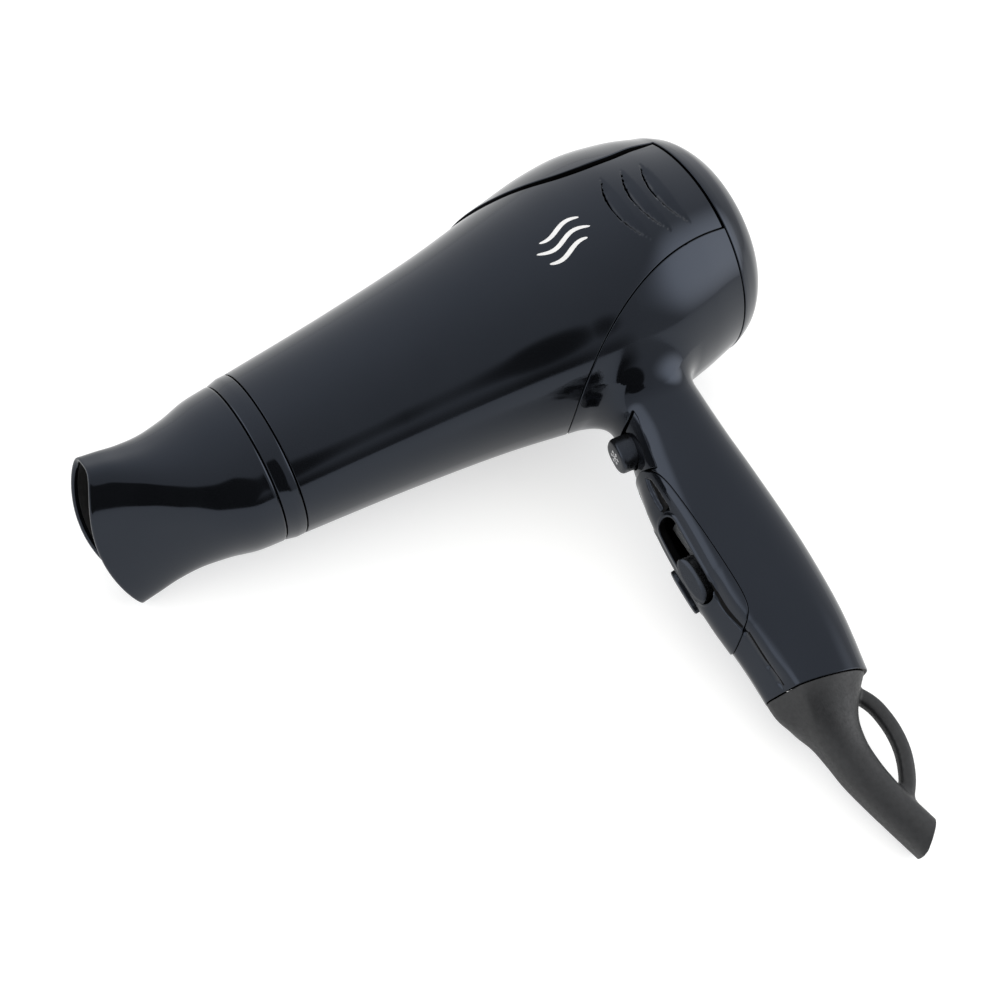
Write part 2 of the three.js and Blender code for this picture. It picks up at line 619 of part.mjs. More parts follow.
const pieces = [
  ["barrel_shell_left", barrelShell(true), "gloss"],
  ["barrel_shell_right", barrelShell(false), "gloss"],
  ["handle_shell_left", handleShell(true), "gloss"],
  ["handle_shell_right", handleShell(false), "gloss"],
  ["rear_cover", makeRearCover(), "gloss"],
  ["rear_grille", makeRearGrille(), "matte"],
  ["outlet_grille", makeOutletGrille(), "inner"],
  ["concentrator_collar", makeCollar(), "gloss"],
  ["concentrator_nozzle", makeNozzle(), "gloss"],
  ["switch_panel", makeSwitchPanel(), "gloss"],
  ["button_trim", makeTrim(), "trim"],
  ["cool_shot_button", makeButton(), "matte"],
  ["heat_slider", makeSlider(-1), "trim"],
  ["speed_slider", makeSlider(1), "trim"],
  ["cord_guard", makeGuard(), "matte"],
  ["fan_duct", makeDuct(), "inner"],
  ["fan_impeller", makeFan(), "inner"],
  ["motor_body", makeMotor(), "steel"],
  ["motor_shaft", makeShaft(), "steel"],
  ["rectifier_board", makeRectifier(), "board"],
  ["mica_board_upright", makeBoard(true), "mica"],
  ["mica_board_level", makeBoard(false), "mica"],
  ["mica_sleeve", makeSleeve(), "mica"],
  ["heating_coil_front", makeCoil(-46, 5), "wire"],
  ["heating_coil_rear", makeCoil(-26, 5), "wire"],
  ["thermostat", makeThermostat(), "ceramic"],
  ["thermal_fuse", makeFuse(), "steel"],
  ["heat_switch", makeSwitchBody(-1), "casing"],
  ["speed_switch", makeSwitchBody(1), "casing"],
  ["cool_shot_switch", makeCoolShotSwitch(), "casing"],
  ["cool_shot_spring", makeSpring(), "steel"],
  ["noise_capacitor", makeCapacitor(), "casing"],
  ["cord_clamp", makeCordClamp(), "inner"],
  ...screws.map((place, k) => [`handle_screw_${k + 1}`, makeScrew(place), "steel"]),
];

const dryer = new THREE.Group();
for (const [name, solid, look] of pieces) {
  const mesh = new THREE.Mesh(toGeometry(solid), finishes[look]());
  mesh.name = name;
  dryer.add(mesh);
}

// The dryer lies on its right side, tipped so that it rests on the barrel, the nozzle's lip and the handle's foot.
dryer.rotation.x = -Math.PI / 2;
const noseDown = new THREE.Group();
noseDown.rotation.y = -lyingPose.noseDrop;
noseDown.add(dryer);
const handleDown = new THREE.Group();
handleDown.rotation.x = lyingPose.handleDrop;
handleDown.add(noseDown);
const lying = new THREE.Group();
lying.add(handleDown);
const floorBox = new THREE.Box3().setFromObject(lying, true);
const middle = floorBox.getCenter(new THREE.Vector3());
lying.position.set(-middle.x, -middle.y, -floorBox.min.z);
lying.updateMatrixWorld(true);

export default lying;
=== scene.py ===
"""A travel hair dryer lying on a pale floor: detailed outer pieces, finishes, light and camera."""
import math

import bmesh
import bpy
import numpy as np
from mathutils import Matrix, Vector


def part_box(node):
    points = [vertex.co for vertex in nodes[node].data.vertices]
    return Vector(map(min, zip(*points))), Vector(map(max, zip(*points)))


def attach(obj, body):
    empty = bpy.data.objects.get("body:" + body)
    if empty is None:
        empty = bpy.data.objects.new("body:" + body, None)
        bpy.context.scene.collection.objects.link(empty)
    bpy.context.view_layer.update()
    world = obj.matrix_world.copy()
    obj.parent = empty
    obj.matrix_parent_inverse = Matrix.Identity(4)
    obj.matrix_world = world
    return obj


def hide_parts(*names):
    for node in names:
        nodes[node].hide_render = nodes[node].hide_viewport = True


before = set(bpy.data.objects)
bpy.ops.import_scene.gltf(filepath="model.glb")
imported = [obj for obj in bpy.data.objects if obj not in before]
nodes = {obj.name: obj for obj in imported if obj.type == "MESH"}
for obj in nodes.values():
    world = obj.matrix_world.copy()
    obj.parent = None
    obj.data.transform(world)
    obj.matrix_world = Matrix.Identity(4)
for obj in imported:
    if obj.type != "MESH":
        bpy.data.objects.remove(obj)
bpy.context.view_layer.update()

# ---------------------------------------------------------------- driving dimensions, in millimetres
# The dryer is drawn level: X runs from the nozzle to the rear, Z is up and the left side faces -Y.
NOSE_DROP = math.radians(5.79)
HANDLE_DROP = math.radians(9.92)
SHAFT_MIDDLE_X = 41.15
SEAM = 0.3
EDGE = 0.25
WALL = 2.0

BARREL_FRONT = -61.0
BARREL_REAR = 80.5
BARREL_X = [-61, -27, 5, 30, 45, 57, 69, 80.5]
BARREL_RADIUS = [24.8, 27.9, 31.85, 36.3, 38.65, 39.15, 37.55, 35]
SEAM_ARC = (75.6, -97.6, 83.7)

HANDLE_Z = [-26, -35, -41, -48, -60, -73, -105, -121, -142]
HANDLE_X = [44.2, 44.1, 44.2, 43.9, 42.2, 40.75, 39.05, 38.3, 35.2]
HANDLE_DEPTH = [15.5, 14.2, 13.5, 13.5, 15, 16.6, 17.4, 16.25, 14.4]
HANDLE_WIDTH = [15.6, 14.9, 14.5, 14.4, 14.6, 14.9, 15, 14.9, 14.9]
HANDLE_FULLNESS = 2.3
# How far the handle's two front faces slope back for each millimetre aside from their blunt ridge
WEDGE_Z = [-50, -60, -73, -105, -121, -142, -150]
WEDGE = [0, 0.25, 0.48, 0.5, 0.48, 0.4, 0]
RIDGE_RADIUS = 2.0
FOOT_X = 35.8
FOOT_Z = -135.4
FOOT_TILT = math.radians(15.2)

TONGUE_PROUD = 0.65
TONGUE_TIP = 19.5
# Half of the tongue's edge seen from above, from its tip to the rear
TONGUE_EDGE = [(TONGUE_TIP, 0), (20.6, 6), (24.8, 13.6), (29, 18.6), (33.6, 22.9), (38.8, 27), (44, 30.2),
               (49.7, 32.2), (55.8, 33.1), (62.8, 32.6), (70.9, 30.6), (79.8, 27.8), (95, 22)]
COVER_WALL = 1.4

# The air gills: the front edge and the width of the first one, by height, and how far apart they stand
GILL_Z = [-9.9, -5, 0.5, 4.3, 9.4, 14.8]
GILL_EDGE = [56.4, 53.1, 51.3, 51.1, 52.3, 55.4]
GILL_WIDTH = [0.4, 3.4, 4.8, 5, 3.6, 0.4]
GILL_COUNT = 3
GILL_STEP = 7
GILL_DEPTH = 1.5
MARK_X = 34.7
MARK_Z = 2.3

NOZZLE_BASE = -67.3
NOZZLE_LIP = -114.8
NOZZLE_BOW = 6.2
NOZZLE_TURN = math.radians(57.5)
NOZZLE_LONG = [24, 23.2, 21.3, 20.5, 21.5, 23.2, 24.4]
NOZZLE_WIDE = [24, 23.1, 20.2, 15.9, 12, 9.3, 8]
NOZZLE_FULLNESS = [2, 2, 2.1, 2.5, 3, 3.5, 3.8]
NOZZLE_WALL = 1.4

GUARD_Z = [-129, -138, -142.5, -147.5, -154, -161, -169, -178, -196]
GUARD_X = [37, 36.1, 34.7, 33.6, 32.9, 33, 34.2, 36.3, 40.9]
GUARD_DEPTH = [15.1, 14, 10.8, 7.7, 6.2, 5.8, 5.5, 5.5, 5.6]
GUARD_WIDTH = [14.9, 14.2, 11.6, 9.2, 7.4, 6.7, 6.3, 6, 6]
LOOP_X = [40, 44.8, 47.4, 48.2, 48, 46.8, 44.6, 42, 38]
LOOP_Z = [-138.5, -142.3, -147, -152.2, -157.4, -162.4, -167, -170.6, -174.4]
STRAP_DEPTH = 2.2
STRAP_WIDTH = 2.4
STRAP_FULLNESS = 2.8
GUARD_WALL = 1.9
END_X = 37.8
END_Z = -185.0
END_TILT = math.radians(36.5)

PANEL_TOP = -57
PANEL_BOTTOM = -118.6
PANEL_THICKNESS = 2.4
SLOT_Y = 4.9
SLOT_HALF = 3.3
SLOT_TOP = -73.4
SLOT_BOTTOM = -100.3
KNOB_TOP = -85.6
KNOB_BOTTOM = -99.8
KNOB_PROUD = 2.2
KNOB_STEM = 3.2
KNOB_ROUNDING = 0.35
BUTTON_X = 30.8
BUTTON_Z = -50.0
BUTTON_WIDTH = 9.0
BUTTON_HEIGHT = 10.4
BUTTON_PROUD = 5.0
BUTTON_LEAN = math.radians(6)
BUTTON_ROUNDING = 1.2
TRIM_SUNK = 0.8
TRIM_THICKNESS = 1.6
SCREWS = [(50, -63), (47, -114), (36, -129)]
SCREW_HOLE_RADIUS = 2.9

# The camera in the same level frame: its place in millimetres, its direction and roll in degrees
CAMERA_PLACE = (-160.32, -457.77, -177.96)
CAMERA_AZIMUTH = 18.14
CAMERA_ELEVATION = 15.5
CAMERA_ROLL = -33.29
SENSOR_WIDTH = 36
LENS_PER_SENSOR = 1.77097

ON_ITS_SIDE = Matrix.Rotation(-math.pi / 2, 3, "X")
LYING = Matrix.Rotation(HANDLE_DROP, 3, "X") @ Matrix.Rotation(-NOSE_DROP, 3, "Y") @ ON_ITS_SIDE
LYING_ARRAY = np.array(LYING)
TINY = 1e-12
shaft_low, shaft_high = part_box("motor_shaft")
REST_SHIFT = (shaft_low + shaft_high) / 2 * 1000 - LYING @ Vector((SHAFT_MIDDLE_X, 0, 0))


# ---------------------------------------------------------------- curves and fields
def through(knots, values):
    """A smooth curve through the values at the knots."""
    order = np.argsort(knots)
    at = np.array(knots, float)[order]
    value = np.array(values, float)[order]
    slope = np.gradient(value, at)

    def curve(x):
        x = np.clip(x, at[0], at[-1])
        k = np.clip(np.searchsorted(at, x) - 1, 0, len(at) - 2)
        span = at[k + 1] - at[k]
        s = (x - at[k]) / span
        start = value[k] * (1 + 2 * s) * (1 - s) ** 2 + span * slope[k] * s * (1 - s) ** 2
        return start + value[k + 1] * s * s * (3 - 2 * s) + span * slope[k + 1] * s * s * (s - 1)

    return curve


def smooth_min(a, b, width):
    """The lower of two values, with the bend between them rounded."""
    mix = np.clip(0.5 + 0.5 * (b - a) / width, 0, 1)
    return b * (1 - mix) + a * mix - width * mix * (1 - mix)


def oval_distance(along, across, half_along, half_across, fullness):
    """Distance from an oval, close to true near its edge and below zero inside."""
    u = np.abs(along) / half_along
    v = np.abs(across) / half_across
    size = np.maximum(u**fullness + v**fullness, 1e-6) ** (1 / fullness)
    steep = np.hypot(u ** (fullness - 1) / half_along, v ** (fullness - 1) / half_across)
    steep = steep * size ** (1 - fullness)
    return (size - 1) / np.maximum(steep, 1e-3)


barrel_radius = through(BARREL_X, BARREL_RADIUS)
handle_x = through(HANDLE_Z, HANDLE_X)
handle_depth = through(HANDLE_Z, HANDLE_DEPTH)
handle_width = through(HANDLE_Z, HANDLE_WIDTH)
front_wedge = through(WEDGE_Z, WEDGE)


def barrel_field(p):
    """Distance from the barrel's side."""
    return np.hypot(p[:, 1], p[:, 2]) - barrel_radius(p[:, 0])


def wedge_distance(p, middle, depth):
    """Distance in front of the two sloping front faces."""
    slope = front_wedge(p[:, 2])
    aside = np.hypot(p[:, 1], RIDGE_RADIUS) - RIDGE_RADIUS
    return (middle - depth + slope * aside - p[:, 0]) / np.hypot(1, slope)


def grip_distance(p):
    """Distance from the handle's side."""
    z = p[:, 2]
    middle, depth = handle_x(z), handle_depth(z)
    side = oval_distance(p[:, 0] - middle, p[:, 1], depth, handle_width(z), HANDLE_FULLNESS)
    return -smooth_min(-side, -wedge_distance(p, middle, depth), 0.6 * np.clip(-(z + 50) / 10, 0.01, 1))


def handle_field(p):
    """Distance from the handle, which starts inside the barrel."""
    return np.maximum(grip_distance(p), p[:, 2] + 15)


gill_edge = through(GILL_Z, GILL_EDGE)
gill_width = through(GILL_Z, GILL_WIDTH)


def gill_dent(p):
    """How deep the scooped gills lie below the barrel's side."""
    z = p[:, 2]
    fade = np.clip((z - GILL_Z[0]) / 8, 0, 1) * np.clip((GILL_Z[-1] - z) / 5, 0, 1)
    fade = fade * (np.abs(p[:, 1]) > 20)
    depth = np.zeros(len(p))
    for k in range(GILL_COUNT):
        across = (p[:, 0] - GILL_STEP * k - gill_edge(z)) / gill_width(z)
        slope = np.clip(across / 0.3, 0, 1) * np.clip(1 - across, 0, 1) ** 1.2
        depth = np.maximum(depth, GILL_DEPTH * fade * slope)
    return depth


def crease_dent(p):
    """The crease that runs on from the switch panel down each side of the handle's front."""
    z = p[:, 2]
    fade = np.clip((-111 - z) / 2, 0, 1) * np.clip((z + 132.5) / 4, 0, 1) * (p[:, 0] < 32)
    aside = np.abs(p[:, 1]) - 8.2
    return 0.55 * fade * np.where(aside < 0, np.exp(-((aside / 0.5) ** 2)), np.exp(-aside / 1.4))


def casing_field(p):
    """Distance from the casing: barrel and handle blended, with gills and creases."""
    blend = 4.5 + 4.5 * np.clip(np.abs(p[:, 1]) / 15, 0, 1) ** 2
    return smooth_min(barrel_field(p), handle_field(p), blend) + gill_dent(p) + crease_dent(p)


def gradient(field, p, step=0.02):
    """The slope of a field at each point, in three directions."""
    slopes = []
    for axis in np.eye(3) * step:
        slopes.append((field(p + axis) - field(p - axis)) / (2 * step))
    return np.stack(slopes, axis=1)


def unit(v):
    """Vectors brought to a length of one."""
    return v / np.maximum(np.linalg.norm(v, axis=-1, keepdims=True), TINY)


def settle(p, field, rounds=6):
    """Points moved onto the surface where a field is zero, with the surface's normals."""
    for _ in range(rounds):
        slope = gradient(field, p)
        p = p - slope * (field(p) / np.maximum((slope**2).sum(axis=1), 0.05))[:, None]
    return p, unit(gradient(field, p))


def line_distance(points, starts, ends):
    """Each point's distance from the nearest of several straight lines, given by their ends."""
    edge = ends - starts
    offset = points[:, None, :] - starts[None]
    share = np.clip((offset * edge).sum(axis=2) / (edge**2).sum(axis=1), 0, 1)
    return np.linalg.norm(offset - share[..., None] * edge, axis=2).min(axis=1)


def polygon_distance(u, v, outline):
    """Distance from a closed outline, below zero inside it."""
    a = np.array(outline, float)
    b = np.roll(a, -1, axis=0)
    edge = b - a
    distance = line_distance(np.stack([u, v], axis=1), a, b)
    u, v = u[:, None], v[:, None]
    crosses = (a[:, 1] <= v) != (b[:, 1] <= v)
    rise = np.where(edge[:, 1] == 0, TINY, edge[:, 1])
    meets = a[:, 0] + (v - a[:, 1]) / rise * edge[:, 0]
    inside = (crosses & (u < meets)).sum(axis=1) % 2 == 1
    return np.where(inside, -distance, distance)


def spline(points, count):
    """Points on the smooth curve through the given points, a number of them for each span."""
    knots = np.arange(len(points))
    at = np.linspace(0, len(points) - 1, (len(points) - 1) * count + 1)
    columns = [through(knots, [point[k] for point in points])(at) for k in range(len(points[0]))]
    return np.stack(columns, axis=1)


# ---------------------------------------------------------------- skins: points, normals and triangles
def grid_skin(rows, closed=True):
    """A skin over a grid of points given as rows; the columns may close on themselves."""
    count_u, count_v = rows.shape[:2]
    along = np.gradient(rows, axis=0)
    if closed:
        across = np.roll(rows, -1, axis=1) - np.roll(rows, 1, axis=1)
    else:
        across = np.gradient(rows, axis=1)
    normals = unit(np.cross(along, across)).reshape(-1, 3)
    last = count_v if closed else count_v - 1
    u, v = np.meshgrid(np.arange(count_u - 1), np.arange(last), indexing="ij")
    after = (v + 1) % count_v
    a, b = (u * count_v + v).ravel(), ((u + 1) * count_v + v).ravel()
    c, d = ((u + 1) * count_v + after).ravel(), (u * count_v + after).ravel()
    faces = np.concatenate([np.stack([a, b, c], axis=1), np.stack([a, c, d], axis=1)])
    return rows.reshape(-1, 3), normals, faces


def clip(skin, field, margin=0.0):
    """The part of a skin where the field is below zero, stopping a margin short of where it is zero."""
    points, normals, faces = (part.copy() for part in skin)
    value = field(points)
    near = np.flatnonzero(np.abs(value) < 4)
    slope = gradient(field, points[near])
    slope -= normals[near] * (slope * normals[near]).sum(axis=1, keepdims=True)
    steep = np.maximum(np.linalg.norm(slope, axis=1), 0.25)
    distance = value[near] / steep + margin
    value[near] = distance
    # Points close to the line are moved onto it, so that no slivers are left
    edge = np.linalg.norm(points[faces[:, 0]] - points[faces[:, 1]], axis=1).mean()
    close = (np.abs(distance) < 0.28 * edge) & (steep > 0.3)
    points[near[close]] -= slope[close] * (distance[close] / steep[close])[:, None]
    value[near[close]] = 0
    state = np.sign(value)[faces]
    whole = (state <= 0).all(axis=1) & (state < 0).any(axis=1)
    mixed = (state < 0).any(axis=1) & (state > 0).any(axis=1)
    new_points, new_normals, found, triangles = [], [], {}, []

    def crossing(a, b):
        """The point where the edge between two points meets the line."""
        key = (min(a, b), max(a, b))
        if key not in found:
            share = value[key[0]] / (value[key[0]] - value[key[1]])
            new_points.append(points[key[0]] * (1 - share) + points[key[1]] * share)
            new_normals.append(normals[key[0]] * (1 - share) + normals[key[1]] * share)
            found[key] = len(points) + len(found)
        return found[key]

    for face in faces[mixed].tolist():
        polygon = []
        for a, b in zip(face, face[1:] + face[:1]):
            if value[a] <= 0:
                polygon.append(a)
            if value[a] * value[b] < 0:
                polygon.append(crossing(a, b))
        for k in range(1, len(polygon) - 1):
            triangles.append((polygon[0], polygon[k], polygon[k + 1]))
    if triangles:
        points = np.concatenate([points, np.array(new_points).reshape(-1, 3)])
        normals = np.concatenate([normals, unit(np.array(new_normals).reshape(-1, 3))])
        kept = np.concatenate([faces[whole], np.array(triangles)])
    else:
        kept = faces[whole]
    used, index = np.unique(kept, return_inverse=True)
    return points[used], normals[used], index.reshape(-1, 3)


def mirrored(skin):
    """The skin on the other side of the dryer."""
    points, normals, faces = skin
    flip = np.array([1, -1, 1])
    return points * flip, normals * flip, faces[:, ::-1]


def rim_edges(faces, count):
    """The edges with one face only, each in the direction of its face."""
    edges = np.concatenate([faces[:, [0, 1]], faces[:, [1, 2]], faces[:, [2, 0]]])
    forward = edges[:, 0] * count + edges[:, 1]
    backward = edges[:, 1] * count + edges[:, 0]
    return edges[~np.isin(forward, backward)]


def shell(skin, thickness, radius=0.25, steps=3, depth_axis=None):
    """A closed solid under a skin: rounded edges, side walls and an inner face, as points and face groups.

    The solid goes down along the skin's normals, or along one depth axis."""
    points, normals, faces = skin
    down = normals if depth_axis is None else np.tile(depth_axis, (len(points), 1))
    count = len(points)
    edges = rim_edges(faces, count)
    rim = np.unique(edges)
    place = np.full(count, -1)
    place[rim] = np.arange(len(rim))
    outward = np.zeros((count, 3))
    direction = unit(points[edges[:, 1]] - points[edges[:, 0]])
    for end in (0, 1):
        np.add.at(outward, edges[:, end], np.cross(direction, normals[edges[:, end]]))
    outward -= normals * (outward * normals).sum(axis=1, keepdims=True)
    outward = unit(outward)[rim]
    upward = normals[rim]
    everything = [points]
    rings = [(rim, upward)]
    total = count
    for k in range(1, steps + 1):
        turn = 0.5 * math.pi * k / steps
        offset = math.sin(turn) * outward - (1 - math.cos(turn)) * upward
        everything.append(points[rim] + radius * offset)
        rings.append((total + np.arange(len(rim)), math.cos(turn) * upward + math.sin(turn) * outward))
        total += len(rim)
    everything.append(points[rim] + radius * outward - thickness * down[rim])
    rings.append((total + np.arange(len(rim)), outward))
    total += len(rim)
    everything.append(points - thickness * down)
    inner = total
    a, b = place[edges[:, 0]], place[edges[:, 1]]
    groups = [(faces, normals[faces]), (inner + faces[:, ::-1], -normals[faces[:, ::-1]])]
    for (upper, upper_normal), (lower, lower_normal) in zip(rings, rings[1:]):
        quads = np.stack([upper[b], upper[a], lower[a], lower[b]], axis=1)
        shade = np.stack([upper_normal[b], upper_normal[a], lower_normal[a], lower_normal[b]], axis=1)
        groups.append((quads, shade))
    floor = rings[-1][0]
    quads = np.stack([floor[b], floor[a], inner + rim[a], inner + rim[b]], axis=1)
    groups.append((quads, -np.stack([upward[b], upward[a], upward[a], upward[b]], axis=1)))
    return np.concatenate(everything), groups


# ---------------------------------------------------------------- objects
def to_row(points):
    """Level millimetres to the frame's metres."""
    return (np.asarray(points) @ LYING_ARRAY.T + np.array(REST_SHIFT)) / 1000


def add_object(name, mesh, body, *replaced):
    """A piece that rides on a body and stands for the CAD nodes it replaces."""
    piece = bpy.data.objects.new(name, mesh)
    bpy.context.scene.collection.objects.link(piece)
    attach(piece, body)
    if replaced:
        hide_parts(*replaced)


def solid_mesh(name, points, groups, material, inside):
    """A shell's mesh: its skin and rounded edges in one material, its walls and inner face in another."""
    mesh = bpy.data.meshes.new(name)
    mesh.materials.append(material)
    mesh.materials.append(inside)
    is_inside = [k == 1 or k >= len(groups) - 2 for k in range(len(groups))]
    sizes = np.concatenate([np.full(len(faces), faces.shape[1]) for faces, _ in groups])
    corners = np.concatenate([faces.ravel() for faces, _ in groups])
    shades = np.concatenate([shade.reshape(-1, 3) for _, shade in groups])
    mesh.vertices.add(len(points))
    mesh.vertices.foreach_set("co", to_row(points).ravel())
    mesh.loops.add(len(corners))
    mesh.loops.foreach_set("vertex_index", corners.astype(np.int32))
    mesh.polygons.add(len(sizes))
    mesh.polygons.foreach_set("loop_start", (np.cumsum(sizes) - sizes).astype(np.int32))
    mesh.polygons.foreach_set("use_smooth", np.ones(len(sizes), bool))
    slots = np.concatenate([np.full(len(faces), hidden) for (faces, _), hidden in zip(groups, is_inside)])
    mesh.polygons.foreach_set("material_index", slots.astype(np.int32))
    mesh.update(calc_edges=True)
    mesh.normals_split_custom_set((unit(shades) @ LYING_ARRAY.T).tolist())
    return mesh


def add_shell(name, solid, material, inside, body, *replaced):
    """A piece made of a shell, in two materials."""
    add_object(name, solid_mesh(name, *solid, material, inside), body, *replaced)


def angle_mesh(name, points, faces, material, sharp=35):
    """A mesh whose shading breaks at edges sharper than the given angle."""
    mesh = bpy.data.meshes.new(name)
    mesh.from_pydata(to_row(points).tolist(), [], [list(face) for face in faces])
    tidy = bmesh.new()
    tidy.from_mesh(mesh)
    bmesh.ops.remove_doubles(tidy, verts=tidy.verts, dist=1e-7)
    bmesh.ops.recalc_face_normals(tidy, faces=tidy.faces)
    tidy.to_mesh(mesh)
    tidy.free()
    mesh.shade_smooth()
    mesh.set_sharp_from_angle(angle=math.radians(sharp))
    mesh.materials.append(material)
    return mesh


def add_lump(name, lump, material, body, *replaced):
    """A piece made of a closed lump of points and faces."""
    add_object(name, angle_mesh(name, *lump, material), body, *replaced)


def rounded_path(points, radius, steps=4):
    """A closed outline with its corners rounded."""
    corners = np.array(points, float)
    share = np.linspace(0, 1, steps + 1)[:, None]
    arcs = []
    for k, here in enumerate(corners):
        back, ahead = corners[k - 1] - here, corners[(k + 1) % len(corners)] - here
        reach = min(radius, 0.45 * np.linalg.norm(back), 0.45 * np.linalg.norm(ahead))
        start, end = here + unit(back) * reach, here + unit(ahead) * reach
        arcs.append(start * (1 - share) ** 2 + 2 * here * share * (1 - share) + end * share**2)
    return np.concatenate(arcs)


def lathe_rows(profile, count):
    """A grid of points: the profile's [x, radius] pairs turned about the barrel's axis."""
    angle = np.linspace(0, 2 * math.pi, count, endpoint=False)
    x = np.repeat(profile[:, :1], count, axis=1)
    y = profile[:, 1:] * np.cos(angle)
    z = profile[:, 1:] * np.sin(angle)
    return np.stack([x, y, z], axis=2)


def ring_faces(rows, columns, wrap_rows=False):
    """Four-sided faces between closed rings of points; the last ring may join the first."""
    faces = []
    for r in range(rows if wrap_rows else rows - 1):
        for c in range(columns):
            low, high = r * columns, ((r + 1) % rows) * columns
            after = (c + 1) % columns
            faces.append((low + c, high + c, high + after, low + after))
    return faces


def lathe_object(name, outline, radius, material, body, *replaced, count=192):
    """A round piece: a closed outline of [x, radius] pairs turned about the barrel's axis."""
    profile = rounded_path(outline, radius)
    rows = lathe_rows(profile, count)
    faces = ring_faces(len(profile), count, wrap_rows=True)
    add_lump(name, (rows.reshape(-1, 3), faces), material, body, *replaced)


def gathered(lumps):
    """Several lumps, each of points and faces, as one."""
    points, faces = [], []
    for lump_points, lump_faces in lumps:
        faces.extend([tuple(int(len(points) + k) for k in face) for face in lump_faces])
        points.extend(np.asarray(lump_points).tolist())
    return np.array(points), faces


def remeshed(lumps, voxel):
    """One even mesh around several overlapping closed meshes."""
    mesh = bpy.data.meshes.new("lump")
    points, faces = gathered(lumps)
    mesh.from_pydata(points.tolist(), [], faces)
    lump = bpy.data.objects.new("lump", mesh)
    bpy.context.scene.collection.objects.link(lump)
    modifier = lump.modifiers.new("even", "REMESH")
    modifier.mode = "VOXEL"
    modifier.voxel_size = voxel
    result = lump.evaluated_get(bpy.context.evaluated_depsgraph_get()).to_mesh()
    result.calc_loop_triangles()
    place = np.zeros(len(result.vertices) * 3, np.float32)
    result.vertices.foreach_get("co", place)
    faces = np.zeros(len(result.loop_triangles) * 3, np.int32)
    result.loop_triangles.foreach_get("vertices", faces)
    bpy.data.objects.remove(lump)
    return place.reshape(-1, 3).astype(float), faces.reshape(-1, 3).astype(np.int64)


def settled_part(points, faces, inside, field):
    """The part of a mesh whose points are inside, moved onto the surface where a field is zero."""
    faces = faces[inside[faces].all(axis=1)]
    used, index = np.unique(faces, return_inverse=True)
    points, normals = settle(points[used], field)
    return points, normals, index.reshape(-1, 3)


def oval_ring(x, z, depth, width, fullness=HANDLE_FULLNESS, count=64):
    """A level oval of points about a place on the handle's line."""
    angle = np.linspace(0, 2 * math.pi, count, endpoint=False)
    across = np.sign(np.cos(angle)) * np.abs(np.cos(angle)) ** (2 / fullness)
    along = np.sign(np.sin(angle)) * np.abs(np.sin(angle)) ** (2 / fullness)
    return np.stack([x + depth * across, width * along, np.full(count, float(z))], axis=1)


def capped(rings):
    """A closed tube through rings of points: its points and faces."""
    count = len(rings[0])
    faces = ring_faces(len(rings), count)
    faces.append(tuple(range(count)))
    faces.append(tuple(len(rings) * count - 1 - k for k in range(count)))
    points = np.concatenate(rings)
    return points, faces


def stroke(line, half, place, low=-0.1, high=0.04):
    """A closed ribbon along a line; place maps the line and a height onto a surface."""
    line = np.array(line, float)
    heading = unit(np.gradient(line, axis=0))
    side = np.stack([-heading[:, 1], heading[:, 0]], axis=1) * np.reshape(half, (-1, 1))
    left, right = line + side, line - side
    corners = [place(left, high), place(right, high), place(right, low), place(left, low)]
    return capped(list(np.stack(corners, axis=1)))


# ---------------------------------------------------------------- finishes
def material_nodes(name):
    """A new material with its node tree and shader."""
    material = bpy.data.materials.new(name)
    material.use_nodes = True
    tree = material.node_tree
    return material, tree, tree.nodes["Principled BSDF"]


def add_node(tree, kind, **settings):
    """A node whose settings are its own properties or the values of its inputs."""
    node = tree.nodes.new(kind)
    for key, value in settings.items():
        if hasattr(node, key):
            setattr(node, key, value)
        else:
            node.inputs[key.replace("_", " ")].default_value = value
    return node


# Where nearly all the values of the noise lie
NOISE_RANGE = (0.3, 0.7)


def noise(tree, scale, detail=3.0):
    """Noise in the object's own coordinates, which are metres."""
    place = add_node(tree, "ShaderNodeTexCoord")
    texture = add_node(tree, "ShaderNodeTexNoise", Scale=scale, Detail=detail)
    tree.links.new(place.outputs["Object"], texture.inputs["Vector"])
    return texture.outputs["Fac"]


def stretched(tree, source, from_range, to_range, step="LINEAR"):
    """A value taken from one range to another."""
    stretch = add_node(tree, "ShaderNodeMapRange", interpolation_type=step)
    for side, values in (("From", from_range), ("To", to_range)):
        stretch.inputs[f"{side} Min"].default_value = values[0]
        stretch.inputs[f"{side} Max"].default_value = values[1]
    tree.links.new(source, stretch.inputs["Value"])
    return stretch.outputs["Result"]


def combined(tree, operation, *values):
    """The result of a sum on numbers and on other nodes' results."""
    node = add_node(tree, "ShaderNodeMath", operation=operation)
    for slot, value in enumerate(values):
        if isinstance(value, (int, float)):
            node.inputs[slot].default_value = value
        else:
            tree.links.new(value, node.inputs[slot])
    return node.outputs[0]


def coloured(tree, source, dark, light):
    """A colour between two tones, by a value."""
    ramp = add_node(tree, "ShaderNodeValToRGB")
    for stop, place, tone in zip(ramp.color_ramp.elements, NOISE_RANGE, (dark, light)):
        stop.position = place
        stop.color = (*tone, 1)
    tree.links.new(source, ramp.inputs["Fac"])
    return ramp.outputs["Color"]


